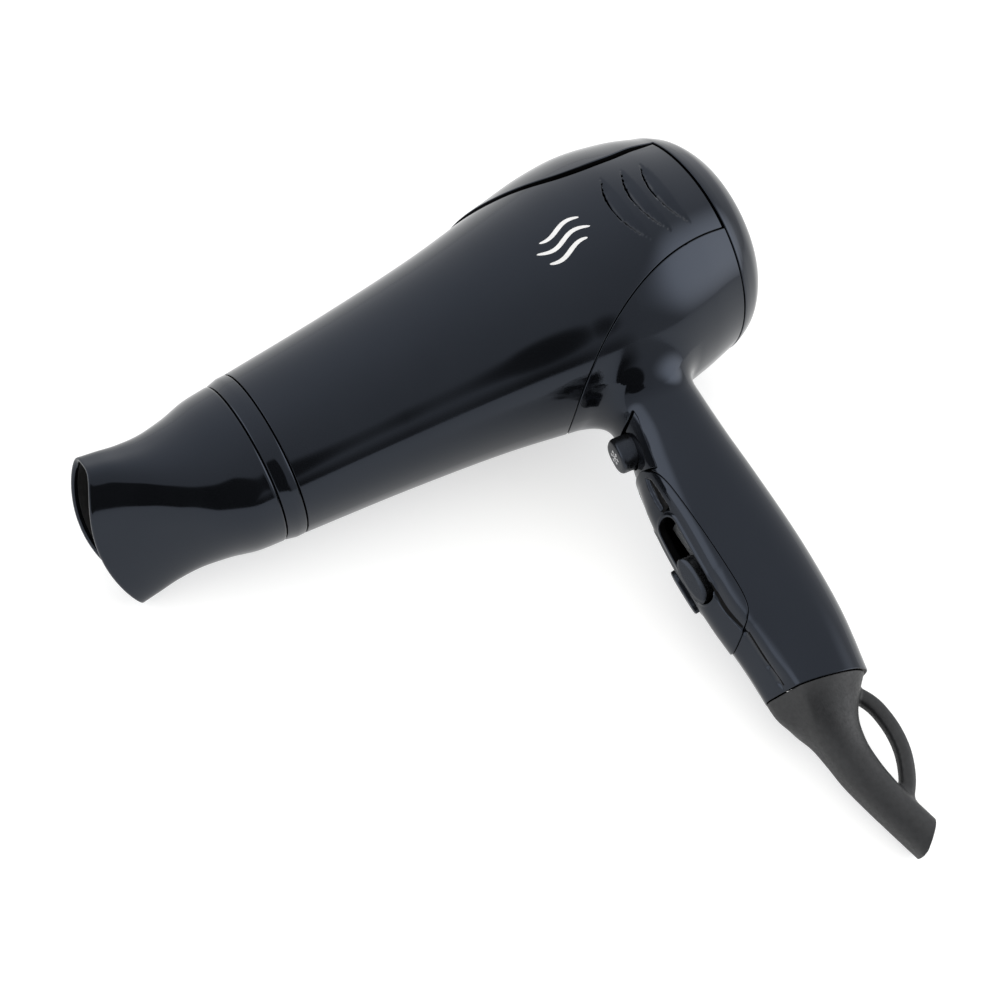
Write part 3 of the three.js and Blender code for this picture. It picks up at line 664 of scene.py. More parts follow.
def finish(name, dark, light, rough, grain, metal=0.0, tint=(1, 1, 1), specular=0.5):
    """A material whose tone and roughness vary a little. Its grain is a scale, a height and a strength."""
    material, tree, shader = material_nodes(name)
    scale, height, strength = grain
    tree.links.new(coloured(tree, noise(tree, scale / 3), dark, light), shader.inputs["Base Color"])
    roughness = stretched(tree, noise(tree, scale / 2, 4), NOISE_RANGE, rough)
    tree.links.new(roughness, shader.inputs["Roughness"])
    shader.inputs["Metallic"].default_value = metal
    shader.inputs["Specular Tint"].default_value = (*tint, 1)
    shader.inputs["Specular IOR Level"].default_value = specular
    bump = add_node(tree, "ShaderNodeBump", Strength=strength, Distance=height)
    tree.links.new(noise(tree, scale, 2), bump.inputs["Height"])
    tree.links.new(bump.outputs["Normal"], shader.inputs["Normal"])
    return material


# Painted reflection colour: a blue tint on the black plastics' reflections, standing in for bluish light
# around the dryer
COOL_REFLECTION_TINT = (0.7, 0.8, 1)
GLOSS = finish("gloss_black", (0.0025, 0.0028, 0.0035), (0.004, 0.0045, 0.0055), (0.06, 0.1),
               (120, 2e-5, 0.08), tint=COOL_REFLECTION_TINT)
TRIM = finish("satin_black", (0.004, 0.0042, 0.0048), (0.007, 0.0073, 0.008), (0.2, 0.32),
              (900, 3e-5, 0.2), tint=COOL_REFLECTION_TINT)
MATTE = finish("matte_black", (0.008, 0.0085, 0.0095), (0.014, 0.0145, 0.016), (0.42, 0.58),
               (2200, 6e-5, 0.5))
INNER = finish("inner_black", (0.006, 0.006, 0.007), (0.012, 0.012, 0.013), (0.5, 0.65),
               (1500, 5e-5, 0.4))
# Painted shade: a near-black that hardly reflects, darker than the real plastic. It goes on the walls of
# seams, slots and holes, on the seam strips and on the crease strokes, so they read as shaded gaps.
GAP_SHADE = finish("gap_shade_black", (0.001, 0.001, 0.0012), (0.002, 0.002, 0.0022), (0.4, 0.5),
              (1500, 2e-5, 0.2), specular=0.08)
PRINT = finish("white_print", (0.62, 0.62, 0.63), (0.72, 0.72, 0.73), (0.35, 0.45), (1500, 2e-5, 0.2))
STEEL = finish("steel", (0.42, 0.43, 0.44), (0.58, 0.58, 0.59), (0.2, 0.4), (700, 2e-5, 0.3), metal=1)
MICA = finish("mica", (0.36, 0.27, 0.15), (0.6, 0.48, 0.3), (0.3, 0.6), (260, 8e-5, 0.5))
WIRE = finish("resistance_wire", (0.2, 0.17, 0.15), (0.36, 0.32, 0.29), (0.3, 0.5),
              (1800, 2e-5, 0.4), metal=1)
CERAMIC = finish("ceramic", (0.66, 0.63, 0.56), (0.78, 0.75, 0.68), (0.45, 0.6), (900, 4e-5, 0.3))
BOARD = finish("circuit_board", (0.02, 0.09, 0.04), (0.04, 0.16, 0.07), (0.3, 0.45), (1400, 3e-5, 0.3))
SWITCH = finish("switch_plastic", (0.2, 0.21, 0.22), (0.3, 0.31, 0.32), (0.35, 0.5), (1100, 4e-5, 0.3))


# ---------------------------------------------------------------- casing shells
def casing_skin():
    """The barrel and the handle as one skin, blended where they meet."""
    barrel_rings = []
    for x in np.linspace(-66, 86, 77):
        ring = oval_ring(0, 0, barrel_radius(x), barrel_radius(x), 2, 96)
        barrel_rings.append(np.stack([np.full(96, x), ring[:, 0], ring[:, 1]], axis=1))
    levels = np.linspace(-141.9, -16, 64)
    handle_rings = [oval_ring(handle_x(z), z, handle_depth(z), handle_width(z)) for z in levels]
    points, faces = remeshed([capped(barrel_rings), capped(handle_rings)], 0.65)
    inside = (points[:, 0] > -64) & (points[:, 0] < 84) & (points[:, 2] > -140)
    return settled_part(points, faces, inside, casing_field)


def tongue_outline():
    """The rear cover's tongue, seen from above."""
    edge = spline(TONGUE_EDGE, 6)
    return np.concatenate([edge[:0:-1], edge * [1, -1]])


def panel_outline():
    """The switch panel, seen from the side."""
    points = [(18, PANEL_TOP), (27.2, -57.3), (28.7, -59.7), (29.7, -64), (29.8, -72), (29.4, -94),
              (28.6, -105.5), (26.4, -110.5), (21.4, -115.4), (16, PANEL_BOTTOM)]
    return np.concatenate([spline(points, 8), [(0, PANEL_BOTTOM), (0, PANEL_TOP)]])


def slit_outline(k):
    """The slit under a gill's front edge, in the side view."""
    z = np.linspace(-1.5, 13.4, 24)
    half = 0.04 + 1.05 * np.sqrt(np.linspace(0, 1, 24) * np.linspace(1, 0, 24))
    middle = gill_edge(z) + GILL_STEP * k + 0.5
    line = np.stack([middle - half, z], axis=1)
    return np.concatenate([line, np.stack([middle + half, z], axis=1)[::-1]])


TONGUE = tongue_outline()
PANEL = panel_outline()
TRIM_OUTLINE = [(10, -45.4), (30.8, -45), (34, -43), (33.9, -45.3), (32.1, -52.8), (30.3, -60.4),
                (28.8, -58.9), (27.3, -56.6), (10, -56.5)]


def arc_distance(p):
    """Distance from the arc where the handle's shell meets the barrel's, below zero on the handle."""
    return np.hypot(p[:, 0] - SEAM_ARC[0], p[:, 2] - SEAM_ARC[1]) - SEAM_ARC[2]


def button_distance(p):
    """Distance from the cool-shot button's stem, seen along its pressing line."""
    along = (p[:, 2] - BUTTON_Z) * math.cos(BUTTON_LEAN) + (p[:, 0] - BUTTON_X) * math.sin(BUTTON_LEAN)
    return oval_distance(along, p[:, 1], BUTTON_HEIGHT / 2, BUTTON_WIDTH / 2, 2.4)


def foot_height(p):
    """Height above the slanted line where the handle ends and the cord guard starts."""
    return (p[:, 0] - FOOT_X) * math.sin(FOOT_TILT) + (p[:, 2] - FOOT_Z) * math.cos(FOOT_TILT)


def tongue_region(p):
    return np.maximum(polygon_distance(p[:, 0], p[:, 1], TONGUE), 5 - p[:, 2])


def panel_region(p):
    return polygon_distance(p[:, 0], p[:, 2], PANEL)


def trim_region(p):
    return polygon_distance(p[:, 0], p[:, 2], TRIM_OUTLINE)


def make_casing():
    """The four shells with their seams, slits and screw holes, and what closes them from inside."""
    whole = casing_skin()
    left = clip(whole, lambda p: p[:, 1], 0.14 + EDGE)
    barrel = clip(left, lambda p: -arc_distance(p), SEAM + EDGE)
    for k in range(GILL_COUNT):
        slit = slit_outline(k)
        barrel = clip(barrel, lambda p, slit=slit: -polygon_distance(p[:, 0], p[:, 2], slit), 0.1)
    barrel = clip(barrel, lambda p: p[:, 0] - BARREL_REAR, 0.6 + EDGE)
    barrel = clip(barrel, lambda p: BARREL_FRONT - p[:, 0], EDGE)
    barrel = clip(barrel, lambda p: -tongue_region(p), SEAM + 0.4 + EDGE)
    handle = clip(left, arc_distance, EDGE)
    handle = clip(handle, lambda p: p[:, 0] - BARREL_REAR, EDGE)
    handle = clip(handle, lambda p: -foot_height(p), EDGE)
    handle = clip(handle, lambda p: -panel_region(p), SEAM + EDGE)
    handle = clip(handle, lambda p: -trim_region(p), SEAM + EDGE)
    screwed = mirrored(handle)
    for x, z in SCREWS:
        def hole(p, x=x, z=z):
            return SCREW_HOLE_RADIUS - np.hypot(p[:, 0] - x, p[:, 2] - z)

        screwed = clip(screwed, hole, EDGE)
    halves = {
        "barrel_shell_left": barrel,
        "barrel_shell_right": mirrored(barrel),
        "handle_shell_left": handle,
        "handle_shell_right": screwed,
    }
    for name, half in halves.items():
        add_shell(f"{name}_skin", shell(half, WALL, EDGE), GLOSS, GAP_SHADE, "casing", name)
    spigot = [(-58, 20.4), (-65, 20.4), (-65, 21.9), (-61, 21.9), (-60.8, 24.3), (-58, 24.3)]
    lathe_object("front_spigot", spigot, 0.3, TRIM, "casing")
    make_backing(whole)
    make_trim(whole)


def make_backing(whole):
    """Narrow strips inside the casing that close its seams against light."""
    def near_seam(p):
        rear = np.abs(p[:, 0] - BARREL_REAR + 1)
        seams = np.minimum(np.abs(arc_distance(p)), np.minimum(np.abs(p[:, 1]), rear))
        return np.minimum(seams, np.abs(tongue_region(p))) - 1.8

    strips = clip(whole, near_seam)
    strips = clip(strips, lambda p: -panel_region(p), 1)
    strips = clip(strips, lambda p: -trim_region(p), 1)
    strips = clip(strips, lambda p: np.maximum(BARREL_FRONT + 3 - p[:, 0], -foot_height(p)))
    points, normals, faces = strips
    strips = (points - normals * (WALL + 0.05), normals, faces)
    add_shell("seam_backing", shell(strips, 0.5, 0.1, 1), GAP_SHADE, INNER, "casing")


def make_trim(whole):
    """The sunk plate round the cool-shot button."""
    trim = clip(whole, trim_region, EDGE)
    trim = clip(trim, lambda p: -button_distance(p), 0.4 + EDGE)
    points, normals, faces = trim
    sunk = (points - TRIM_SUNK * normals, normals, faces)
    add_shell("button_trim_skin", shell(sunk, TRIM_THICKNESS, EDGE), GLOSS, GAP_SHADE, "casing", "button_trim")


# ---------------------------------------------------------------- rear cover
def make_rear_cover():
    """The domed ring round the grille, with its tongue over the top of the barrel."""
    line = np.linspace(TONGUE_TIP - 1, BARREL_REAR, 62)
    proud = TONGUE_PROUD * (1 - 0.75 * np.clip((line - 70) / 10, 0, 1) ** 2)
    tongue = np.stack([line, barrel_radius(line) + proud], axis=1)
    ring = spline([(81.6, 34.9), (83.6, 34.1), (86.6, 32.5), (89, 30.4), (90.7, 28.4)], 6)
    back = [(91.3, 27.3), (91.5, 26.5), (91.5, 25.2), (91.45, 24.3), (91.1, 23.65), (90.4, 23.4),
            (89, 23.4), (87.6, 23.4)]
    profile = np.concatenate([tongue, ring, back])
    skin = grid_skin(lathe_rows(profile, 256)[:, ::-1])

    def region(p):
        return np.minimum(tongue_region(p), BARREL_REAR + 0.3 - p[:, 0])

    cover = shell(clip(skin, region, EDGE), COVER_WALL, EDGE)
    add_shell("rear_cover_skin", cover, GLOSS, GAP_SHADE, "casing", "rear_cover")


# ---------------------------------------------------------------- concentrator
def make_collar():
    """The concentrator's collar, which plugs onto the barrel's spigot and into the nozzle."""
    outline = [(-61.3, 22.2), (-61.3, 24.8), (-63.8, 24.75), (-67, 23.9), (-67, 21.7), (-71.5, 21.7),
               (-71.5, 20.3), (-65.4, 20.3), (-65.4, 22.2)]
    lathe_object("collar_ring", outline, 0.5, GLOSS, "collar", "concentrator_collar", count=256)


def nozzle_ring(along, grow, count=256):
    """A ring of the nozzle, grown outward; along is 0 at its base and 1 at its lip."""
    knots = np.linspace(0, 1, len(NOZZLE_LONG))
    length = through(knots, NOZZLE_LONG)(along) + grow
    width = through(knots, NOZZLE_WIDE)(along) + grow
    fullness = through(knots, NOZZLE_FULLNESS)(along)
    angle = np.linspace(0, 2 * math.pi, count, endpoint=False)
    long = np.sign(np.sin(angle)) * np.abs(np.sin(angle)) ** (2 / fullness) * length
    wide = np.sign(np.cos(angle)) * np.abs(np.cos(angle)) ** (2 / fullness) * width
    bow = NOZZLE_BOW * max(along, 0) ** 3 * (long / length) ** 2
    x = NOZZLE_BASE + (NOZZLE_LIP - NOZZLE_BASE) * along + bow
    y = wide * math.cos(NOZZLE_TURN) - long * math.sin(NOZZLE_TURN)
    z = wide * math.sin(NOZZLE_TURN) + long * math.cos(NOZZLE_TURN)
    return np.stack([x, y, z], axis=1)


def make_nozzle():
    """The nozzle: its outside, its rounded lip and its inside, which is matte."""
    half = NOZZLE_WALL / 2
    rings = [nozzle_ring(0, -0.35), nozzle_ring(0.004, -0.1)]
    rings += [nozzle_ring(along, 0) for along in np.linspace(0.012, 0.98, 80)]
    for turn in np.linspace(0, math.pi, 9)[1:-1]:
        rings.append(nozzle_ring(0.985 + 0.015 * math.sin(turn), -half + half * math.cos(turn)))
    first_inner = (len(rings) + 1) * len(rings[0])
    rings += [nozzle_ring(along, -NOZZLE_WALL) for along in np.linspace(0.98, 0, 60)]
    points, faces = np.concatenate(rings), ring_faces(len(rings), len(rings[0]), wrap_rows=True)
    mesh = angle_mesh("nozzle_skin", points, faces, GLOSS, 50)
    mesh.materials.append(INNER)
    for face in mesh.polygons[first_inner:]:
        face.material_index = 1
    add_object("nozzle_skin", mesh, "nozzle", "concentrator_nozzle")


# ---------------------------------------------------------------- cord guard
def strap_field(p):
    """Distance from the hanging loop's strap."""
    line = spline(list(zip(LOOP_X, LOOP_Z)), 8)
    distance = line_distance(p[:, [0, 2]], line[:-1], line[1:])
    return oval_distance(distance, p[:, 1], STRAP_DEPTH, STRAP_WIDTH, STRAP_FULLNESS)


guard_x = through(GUARD_Z, GUARD_X)
guard_depth = through(GUARD_Z, GUARD_DEPTH)
guard_width = through(GUARD_Z, GUARD_WIDTH)


def guard_field(p):
    """Distance from the cord guard with its loop."""
    z = p[:, 2]
    middle, depth = guard_x(z), guard_depth(z)
    side = oval_distance(p[:, 0] - middle, p[:, 1], depth, guard_width(z), HANDLE_FULLNESS)
    body = -smooth_min(-side, -wedge_distance(p, middle, depth), 0.5)
    return smooth_min(body, strap_field(p), 2.0)


def end_height(p):
    """Height above the guard's slanted lower end."""
    return -(p[:, 0] - END_X) * math.sin(END_TILT) + (p[:, 2] - END_Z) * math.cos(END_TILT)


def make_guard():
    """The matte cord guard and its hanging loop, as one shell."""
    levels = np.linspace(-195, -130, 60)
    body = capped([oval_ring(guard_x(z), z, guard_depth(z), guard_width(z)) for z in levels])
    line = spline(list(zip(LOOP_X, LOOP_Z)), 6)
    heading = unit(np.gradient(line, axis=0))
    rings = []
    for (x, z), (dx, dz) in zip(line, heading):
        ring = oval_ring(0, 0, STRAP_DEPTH, STRAP_WIDTH, STRAP_FULLNESS, 24)
        rings.append(np.stack([x - ring[:, 0] * dz, ring[:, 1], z + ring[:, 0] * dx], axis=1))
    points, faces = remeshed([body, capped(rings)], 0.55)
    inside = (points[:, 2] > -193.5) & (points[:, 2] < -131)
    skin = settled_part(points, faces, inside, guard_field)
    skin = clip(skin, lambda p: foot_height(p) + SEAM + EDGE)
    skin = clip(skin, lambda p: EDGE - end_height(p))
    add_shell("cord_guard_skin", shell(skin, GUARD_WALL, EDGE), MATTE, INNER, "casing", "cord_guard")


# ---------------------------------------------------------------- switch panel, trim, button and knobs
def grip_point(angle, z):
    """A point on the handle; angle 0 faces the nozzle side."""
    across = -np.sign(np.cos(angle)) * np.abs(np.cos(angle)) ** (2 / HANDLE_FULLNESS)
    along = -np.sign(np.sin(angle)) * np.abs(np.sin(angle)) ** (2 / HANDLE_FULLNESS)
    return np.stack([handle_x(z) + handle_depth(z) * across, handle_width(z) * along, z], axis=-1)


def grip_skin(low, high, step):
    """The handle's front as a fine skin."""
    angle, level = np.meshgrid(np.linspace(1.9, -1.9, 170), np.arange(low, high, step))
    points, _, faces = grid_skin(grip_point(angle, level), closed=False)
    points, normals = settle(points, grip_distance, 4)
    return points, normals, faces


def slot_distance(p, hand):
    """Distance from a knob's slot; hand is -1 for the left slot and 1 for the right."""
    middle = np.clip(p[:, 2], SLOT_BOTTOM + SLOT_HALF, SLOT_TOP - SLOT_HALF)
    return np.hypot(p[:, 1] - hand * SLOT_Y, p[:, 2] - middle) - SLOT_HALF


PANEL_HOLLOW = [(4.7, -60.4), (7, -62.2), (8.2, -66.4), (8.6, -70), (8.6, -73), (5.6, -71.4), (5, -67.8),
                (4.6, -64)]
panel_crease = through([-112, -104, -97.4, -92], [8, 7.1, 7.7, 9.4])


def panel_height(p):
    """How far the panel stands above the handle, with rims round the slots, hollows and creases."""
    aside, z = np.abs(p[:, 1]), p[:, 2]
    height = 0.5 * np.clip((-60 - z) / 8, 0, 1)
    rim = np.abs(slot_distance(np.stack([p[:, 0], aside, z], axis=1), 1) - 0.45)
    height += 0.25 * np.exp(-((rim / 0.45) ** 2))
    height -= 0.8 * np.clip(-polygon_distance(aside, z, PANEL_HOLLOW) / 0.4, 0, 1)
    beyond = aside - panel_crease(z)
    fade = np.clip((-94 - z) / 5, 0, 1)
    height -= 0.7 * fade * np.clip(beyond / 0.35, 0, 1) * np.clip(1 - beyond / 4.5, 0, 1)
    return height


def grid_normals(points, faces):
    """Point normals from the triangles around each point."""
    corner = points[faces]
    facing = np.cross(corner[:, 1] - corner[:, 0], corner[:, 2] - corner[:, 0])
    total = np.zeros_like(points)
    for k in range(3):
        np.add.at(total, faces[:, k], facing)
    return unit(total)


def raised_skin(skin, height):
    """A skin lifted along its normals, with new normals."""
    points, normals, faces = skin
    lifted = points + normals * height[:, None]
    return lifted, grid_normals(lifted, faces), faces


def make_panel():
    """The raised switch panel with its two slots."""
    flat = grip_skin(-122, -53, 0.35)
    skin = clip(raised_skin(flat, panel_height(flat[0])), panel_region, EDGE)
    for hand in (-1, 1):
        skin = clip(skin, lambda p, hand=hand: -slot_distance(p, hand), EDGE)
    panel = shell(skin, PANEL_THICKNESS, EDGE)
    add_shell("switch_panel_skin", panel, GLOSS, GAP_SHADE, "casing", "switch_panel")


def make_knob(name, hand, node, body):
    """A slide knob: an oval that slopes away on its outer side, beyond a curved line."""
    flat = grip_skin(-104, -82, 0.25)
    points = flat[0]
    middle_z = (KNOB_TOP + KNOB_BOTTOM) / 2
    half_length = (KNOB_TOP - KNOB_BOTTOM) / 2
    half_width = SLOT_HALF - KNOB_ROUNDING

    def outline(p):
        return oval_distance(p[:, 2] - middle_z, p[:, 1] - hand * SLOT_Y, half_length, half_width, 2.3)

    bend = 1.3 - 1.7 * ((points[:, 2] - middle_z) / half_length) ** 2
    beyond = np.clip(hand * points[:, 1] - SLOT_Y - bend, 0, 4)
    crown = KNOB_PROUD - 0.5 * beyond - 0.3 * np.clip(1 + outline(points) / 0.8, 0, 1) ** 2
    skin = clip(raised_skin(flat, crown), outline, KNOB_ROUNDING)
    solid = shell(skin, KNOB_PROUD + KNOB_STEM, KNOB_ROUNDING, depth_axis=unit(skin[1].mean(axis=0)))
    add_shell(name, solid, TRIM, TRIM, body, node)


def button_place(ring):
    """From a peg drawn upward to the cool-shot button's own direction, out of the handle's front."""
    x, y, z = -ring[:, 2], ring[:, 1], ring[:, 0]
    lean_x = x * math.cos(BUTTON_LEAN) + z * math.sin(BUTTON_LEAN)
    lean_z = -x * math.sin(BUTTON_LEAN) + z * math.cos(BUTTON_LEAN)
    return np.stack([lean_x + BUTTON_X, y, lean_z + BUTTON_Z], axis=1)


def make_button():
    """The cool-shot button: ovals stacked along its pressing line, as (height, grow) pairs."""
    levels = [(-4.4, 0.9), (-3.4, 0.9), (-3.3, 0.1), (BUTTON_PROUD - 2.2, 0)]
    for turn in np.linspace(0, math.pi / 2, 7):
        drop = BUTTON_ROUNDING * (1 - math.sin(turn))
        levels.append((BUTTON_PROUD - drop, -BUTTON_ROUNDING * (1 - math.cos(turn))))
    levels += [(BUTTON_PROUD + 0.05, -2.4), (BUTTON_PROUD + 0.08, -3.9)]
    rings = []
    for height, grow in levels:
        ring = oval_ring(0, height, BUTTON_HEIGHT / 2 + grow, BUTTON_WIDTH / 2 + grow, 2.6, 72)
        rings.append(button_place(ring))
    add_lump("cool_shot_cap", capped(rings), TRIM, "cool_shot", "cool_shot_button")


def make_snowflake():
    """A snowflake on the button's face: three crossing bars with a small fork at each end."""
    def on_face(line, lift):
        height = np.full(len(line), BUTTON_PROUD + 0.09 + lift)
        return button_place(np.concatenate([line, height[:, None]], axis=1))

    strokes = []
    for k in range(6):
        turn = math.pi / 6 + math.pi / 3 * k
        out = np.array([math.cos(turn), math.sin(turn)])
        strokes.append(stroke([out * 0, out * 2.2], 0.14, on_face))
        for lean in (-0.8, 0.8):
            fork = np.array([math.cos(turn + lean), math.sin(turn + lean)])
            strokes.append(stroke([out * 1.3, out * 1.3 + fork * 0.75], 0.11, on_face))
    add_lump("cool_shot_snowflake", gathered(strokes), PRINT, "cool_shot")


def make_mark():
    """Three waves of moving air printed on the left side."""
    def on_barrel(line, lift):
        x, z = line[:, 0], line[:, 1]
        return np.stack([x, -np.sqrt((barrel_radius(x) + lift) ** 2 - z**2), z], axis=1)

    share = np.linspace(0, 1, 40)
    half = 0.1 + 1.1 * np.sqrt(share * (1 - share))
    strokes = []
    for k, (start, length) in enumerate(((-7, 13), (-8.5, 17), (-6, 13.5))):
        along = start + length * share
        wave = 3.7 * (k - 1) + 1.15 * np.sin(along / 16 * 2 * math.pi)
        strokes.append(stroke(np.stack([MARK_X + along, MARK_Z + wave], axis=1), half, on_barrel))
    add_lump("air_mark", gathered(strokes), PRINT, "casing")


def make_crease_shade_strokes():
    """Painted shade: dark lines in the hollows and creases beside the slots and below them, where shade
    falls.
    """
    def on_front(line, field):
        y, z = line[:, 0], line[:, 1]
        front = handle_x(z) - handle_depth(z) + front_wedge(z) * np.abs(y)
        return settle(np.stack([front, y, z], axis=1), field, 4)

    def on_panel(line, lift):
        points, normals = on_front(line, grip_distance)
        return points + normals * (panel_height(points) + lift)[:, None]

    def on_grip(line, lift):
        points, normals = on_front(line, casing_field)
        return points + normals * lift

    hollow = spline([(5.4, -60.8), (6.3, -64.5), (6.8, -68.5), (7.1, -72.3)], 8)
    hollow_half = 0.25 + 1.2 * np.linspace(0, 1, len(hollow))
    below = spline([(7.9, -96.5), (7.5, -101), (7.4, -105.5), (8.2, -111.6)], 8)
    below_half = 0.1 + 0.4 * np.sin(np.linspace(0.3, 2.6, len(below)))
    share = np.linspace(0, 1, 30)
    lower = np.stack([8.5 - 0.5 * np.sin(share * math.pi), -113.6 - 17.4 * share], axis=1)
    lower_half = 0.5 - 0.3 * share
    strokes = []
    for side in (np.array([-1, 1]), np.array([1, 1])):
        strokes.append(stroke(hollow * side, hollow_half, on_panel))
        strokes.append(stroke(below * side, below_half, on_panel))
        strokes.append(stroke(lower * side, lower_half, on_grip))
    # Painted shade: near-black strokes laid along the creases
    add_lump("grip_crease_shade", gathered(strokes), GAP_SHADE, "casing")


def make_rear_grille():
    """A rim, level slats and an upright spine, all with rounded edges."""
    rim = [(88.7, 21.3), (88.7, 23), (90.7, 23), (90.7, 21.3)]
    lathe_object("rear_grille_rim", rim, 0.5, MATTE, "casing", "rear_grille")
    bars = []
    for z in range(-20, 21, 5):
        reach = math.sqrt(22**2 - z**2)
        section = oval_ring(89.7, 0, 0.95, 0.9, 3.4, 32)[:, :2]
        left = np.stack([section[:, 0], np.full(32, -reach), z + section[:, 1]], axis=1)
        right = left * [1, -1, 1]
        bars.append(capped([left, right]))
    bars.append(capped([oval_ring(89.4, z, 0.75, 1.1, 3.4, 32) for z in (-22, 22)]))
    add_lump("rear_grille_slats", gathered(bars), MATTE, "casing")


make_casing()
make_rear_cover()
make_collar()
make_nozzle()
make_guard()
make_panel()
make_knob("heat_knob_cap", -1, "heat_slider", "heat_knob")
make_knob("speed_knob_cap", 1, "speed_slider", "speed_knob")
make_button()
make_snowflake()
make_mark()
make_crease_shade_strokes()
make_rear_grille()

# The finishes of the CAD nodes that are carried over; those not named are inner black plastic
NODE_FINISHES = [
    (BOARD, ["rectifier_board"]),
    (CERAMIC, ["thermostat"]),
    (MICA, ["mica_board_upright", "mica_board_level", "mica_sleeve"]),
    (STEEL, ["motor_body", "motor_shaft", "thermal_fuse", "cool_shot_spring"]),
    (STEEL, ["handle_screw_1", "handle_screw_2", "handle_screw_3"]),
    (SWITCH, ["heat_switch", "speed_switch", "cool_shot_switch", "noise_capacitor"]),
    (WIRE, ["heating_coil_front", "heating_coil_rear"]),
]
finish_of = {name: material for material, names in NODE_FINISHES for name in names}
for name, node in nodes.items():
    if not node.hide_render:
        node.data.materials.clear()
        node.data.materials.append(finish_of.get(name, INNER))


# ---------------------------------------------------------------- floor, light and camera
def make_floor():
    """A plain pale floor that glows a little, more so to the camera."""
    floor_mesh = bpy.data.meshes.new("floor")
    half = 15.0
    corners = [(-half, -half, 0), (half, -half, 0), (half, half, 0), (-half, half, 0)]
    floor_mesh.from_pydata(corners, [], [(0, 1, 2, 3)])
    material, tree, shader = material_nodes("pale_floor")
    tone = coloured(tree, noise(tree, 3, 3), (0.5, 0.505, 0.51), (0.53, 0.535, 0.54))
    tree.links.new(tone, shader.inputs["Base Color"])
    shader.inputs["Roughness"].default_value = 0.9
    shader.inputs["Specular IOR Level"].default_value = 0.0
    shader.inputs["Emission Color"].default_value = (1, 1, 1, 1)
    path = add_node(tree, "ShaderNodeLightPath")
    glow = combined(tree, "MULTIPLY_ADD", path.outputs["Is Camera Ray"], 0.22, 0.38)
    tree.links.new(glow, shader.inputs["Emission Strength"])
    floor_mesh.materials.append(material)
    floor = bpy.data.objects.new("floor", floor_mesh)
    floor.location.z = -0.0003
    bpy.context.scene.collection.objects.link(floor)


def area_light(name, place, target, size, power, colour):
    """A soft light that isn't mirrored in the gloss."""
    light = bpy.data.lights.new(name, "AREA")
    light.shape = "RECTANGLE"
    light.size, light.size_y = size
    light.energy = power
    light.color = colour
    lamp = bpy.data.objects.new(name, light)
    lamp.location = place
    lamp.rotation_euler = (Vector(target) - Vector(place)).to_track_quat("-Z", "Y").to_euler()
    lamp.visible_glossy = False
    bpy.context.scene.collection.objects.link(lamp)


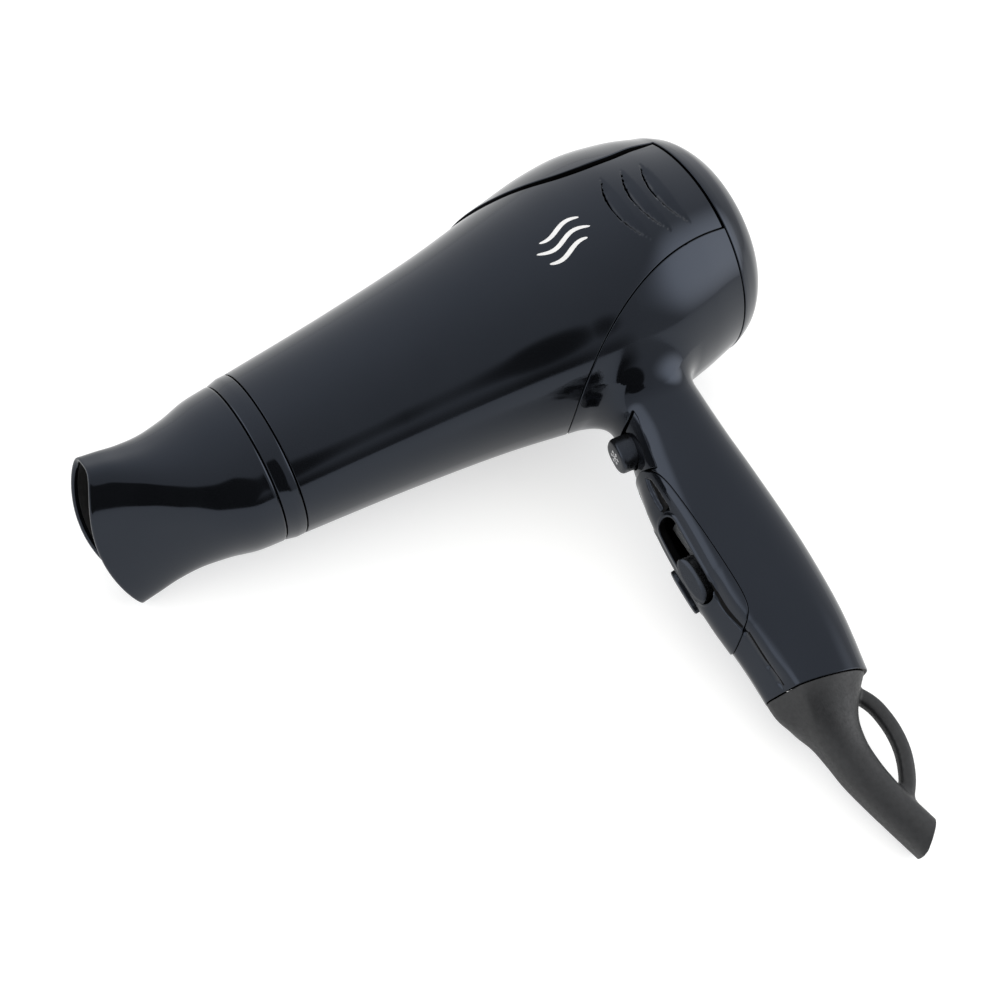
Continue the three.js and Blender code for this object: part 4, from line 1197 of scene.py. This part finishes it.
def make_world():
    """Soft studio surroundings: a pale wall, two soft windows, and a dark strip and card in front."""
    world = bpy.data.worlds.new("studio")
    world.use_nodes = True
    tree = world.node_tree
    place = add_node(tree, "ShaderNodeTexCoord")
    split = add_node(tree, "ShaderNodeSeparateXYZ")
    tree.links.new(place.outputs["Generated"], split.inputs["Vector"])

    def toward(*direction):
        """How nearly a ray goes in a direction: 1 for straight along it."""
        agreement = add_node(tree, "ShaderNodeVectorMath", operation="DOT_PRODUCT")
        tree.links.new(place.outputs["Generated"], agreement.inputs[0])
        agreement.inputs[1].default_value = direction
        return agreement.outputs["Value"]

    def smooth(source, from_range, to_range):
        return stretched(tree, source, from_range, to_range, "SMOOTHSTEP")

    forward = combined(tree, "MULTIPLY", split.outputs["Y"], -1.0)
    wall = smooth(forward, (-1, 1), (1.1, 0.6))
    facing = smooth(toward(-0.342, -0.94, 0), (0.86, 0.94), (0, 1))
    low = smooth(split.outputs["Z"], (0.04, 0.33), (0.97, 0))
    strip = combined(tree, "MULTIPLY", facing, low)
    card = smooth(toward(-0.367, -0.865, 0.342), (0.905, 0.93), (0, 0.95))
    bright = combined(tree, "SUBTRACT", 1.0, combined(tree, "MAXIMUM", strip, card))
    main_window = smooth(toward(0.683, -0.573, 0.454), (0.82, 1), (0, 2.2))
    side_window = smooth(toward(-0.84, 0.39, 0.375), (0.84, 0.98), (0, 1.2))
    window = combined(tree, "ADD", main_window, side_window)
    total = combined(tree, "ADD", combined(tree, "MULTIPLY", wall, bright), window)
    background = tree.nodes["Background"]
    background.inputs["Color"].default_value = (0.99, 1, 1.02, 1)
    tree.links.new(total, background.inputs["Strength"])
    seen = add_node(tree, "ShaderNodeBackground")
    seen.inputs["Color"].default_value = (0.97, 0.975, 0.98, 1)
    path = add_node(tree, "ShaderNodeLightPath")
    mix = add_node(tree, "ShaderNodeMixShader")
    tree.links.new(path.outputs["Is Camera Ray"], mix.inputs[0])
    tree.links.new(background.outputs[0], mix.inputs[1])
    tree.links.new(seen.outputs[0], mix.inputs[2])
    tree.links.new(mix.outputs[0], tree.nodes["World Output"].inputs["Surface"])
    bpy.context.scene.world = world


def make_camera():
    """The camera, placed and turned in the level frame of the dryer."""
    azimuth = math.radians(CAMERA_AZIMUTH)
    elevation = math.radians(CAMERA_ELEVATION)
    roll = math.radians(CAMERA_ROLL)
    level = math.cos(elevation)
    back = Vector((-math.sin(azimuth) * level, -math.cos(azimuth) * level, -math.sin(elevation)))
    level_right = Vector((0, 0, 1)).cross(back).normalized()
    level_up = back.cross(level_right)
    right = math.cos(roll) * level_right + math.sin(roll) * level_up
    up = -math.sin(roll) * level_right + math.cos(roll) * level_up
    columns = Matrix((LYING @ right, LYING @ up, LYING @ back)).transposed()
    place = (LYING @ Vector(CAMERA_PLACE) + REST_SHIFT) / 1000
    camera_data = bpy.data.cameras.new("camera")
    camera_data.sensor_width = SENSOR_WIDTH
    camera_data.lens = SENSOR_WIDTH * LENS_PER_SENSOR
    camera_data.clip_start = 0.01
    camera = bpy.data.objects.new("camera", camera_data)
    camera.matrix_world = Matrix.Translation(place) @ columns.to_4x4()
    bpy.context.scene.collection.objects.link(camera)
    bpy.context.scene.camera = camera


make_floor()
make_world()
make_camera()
area_light("overhead", (0, 0, 1.6), (0, 0, 0), (2.2, 2.2), 14, (1, 0.95, 0.82))
bpy.context.scene.view_settings.view_transform = "Standard"
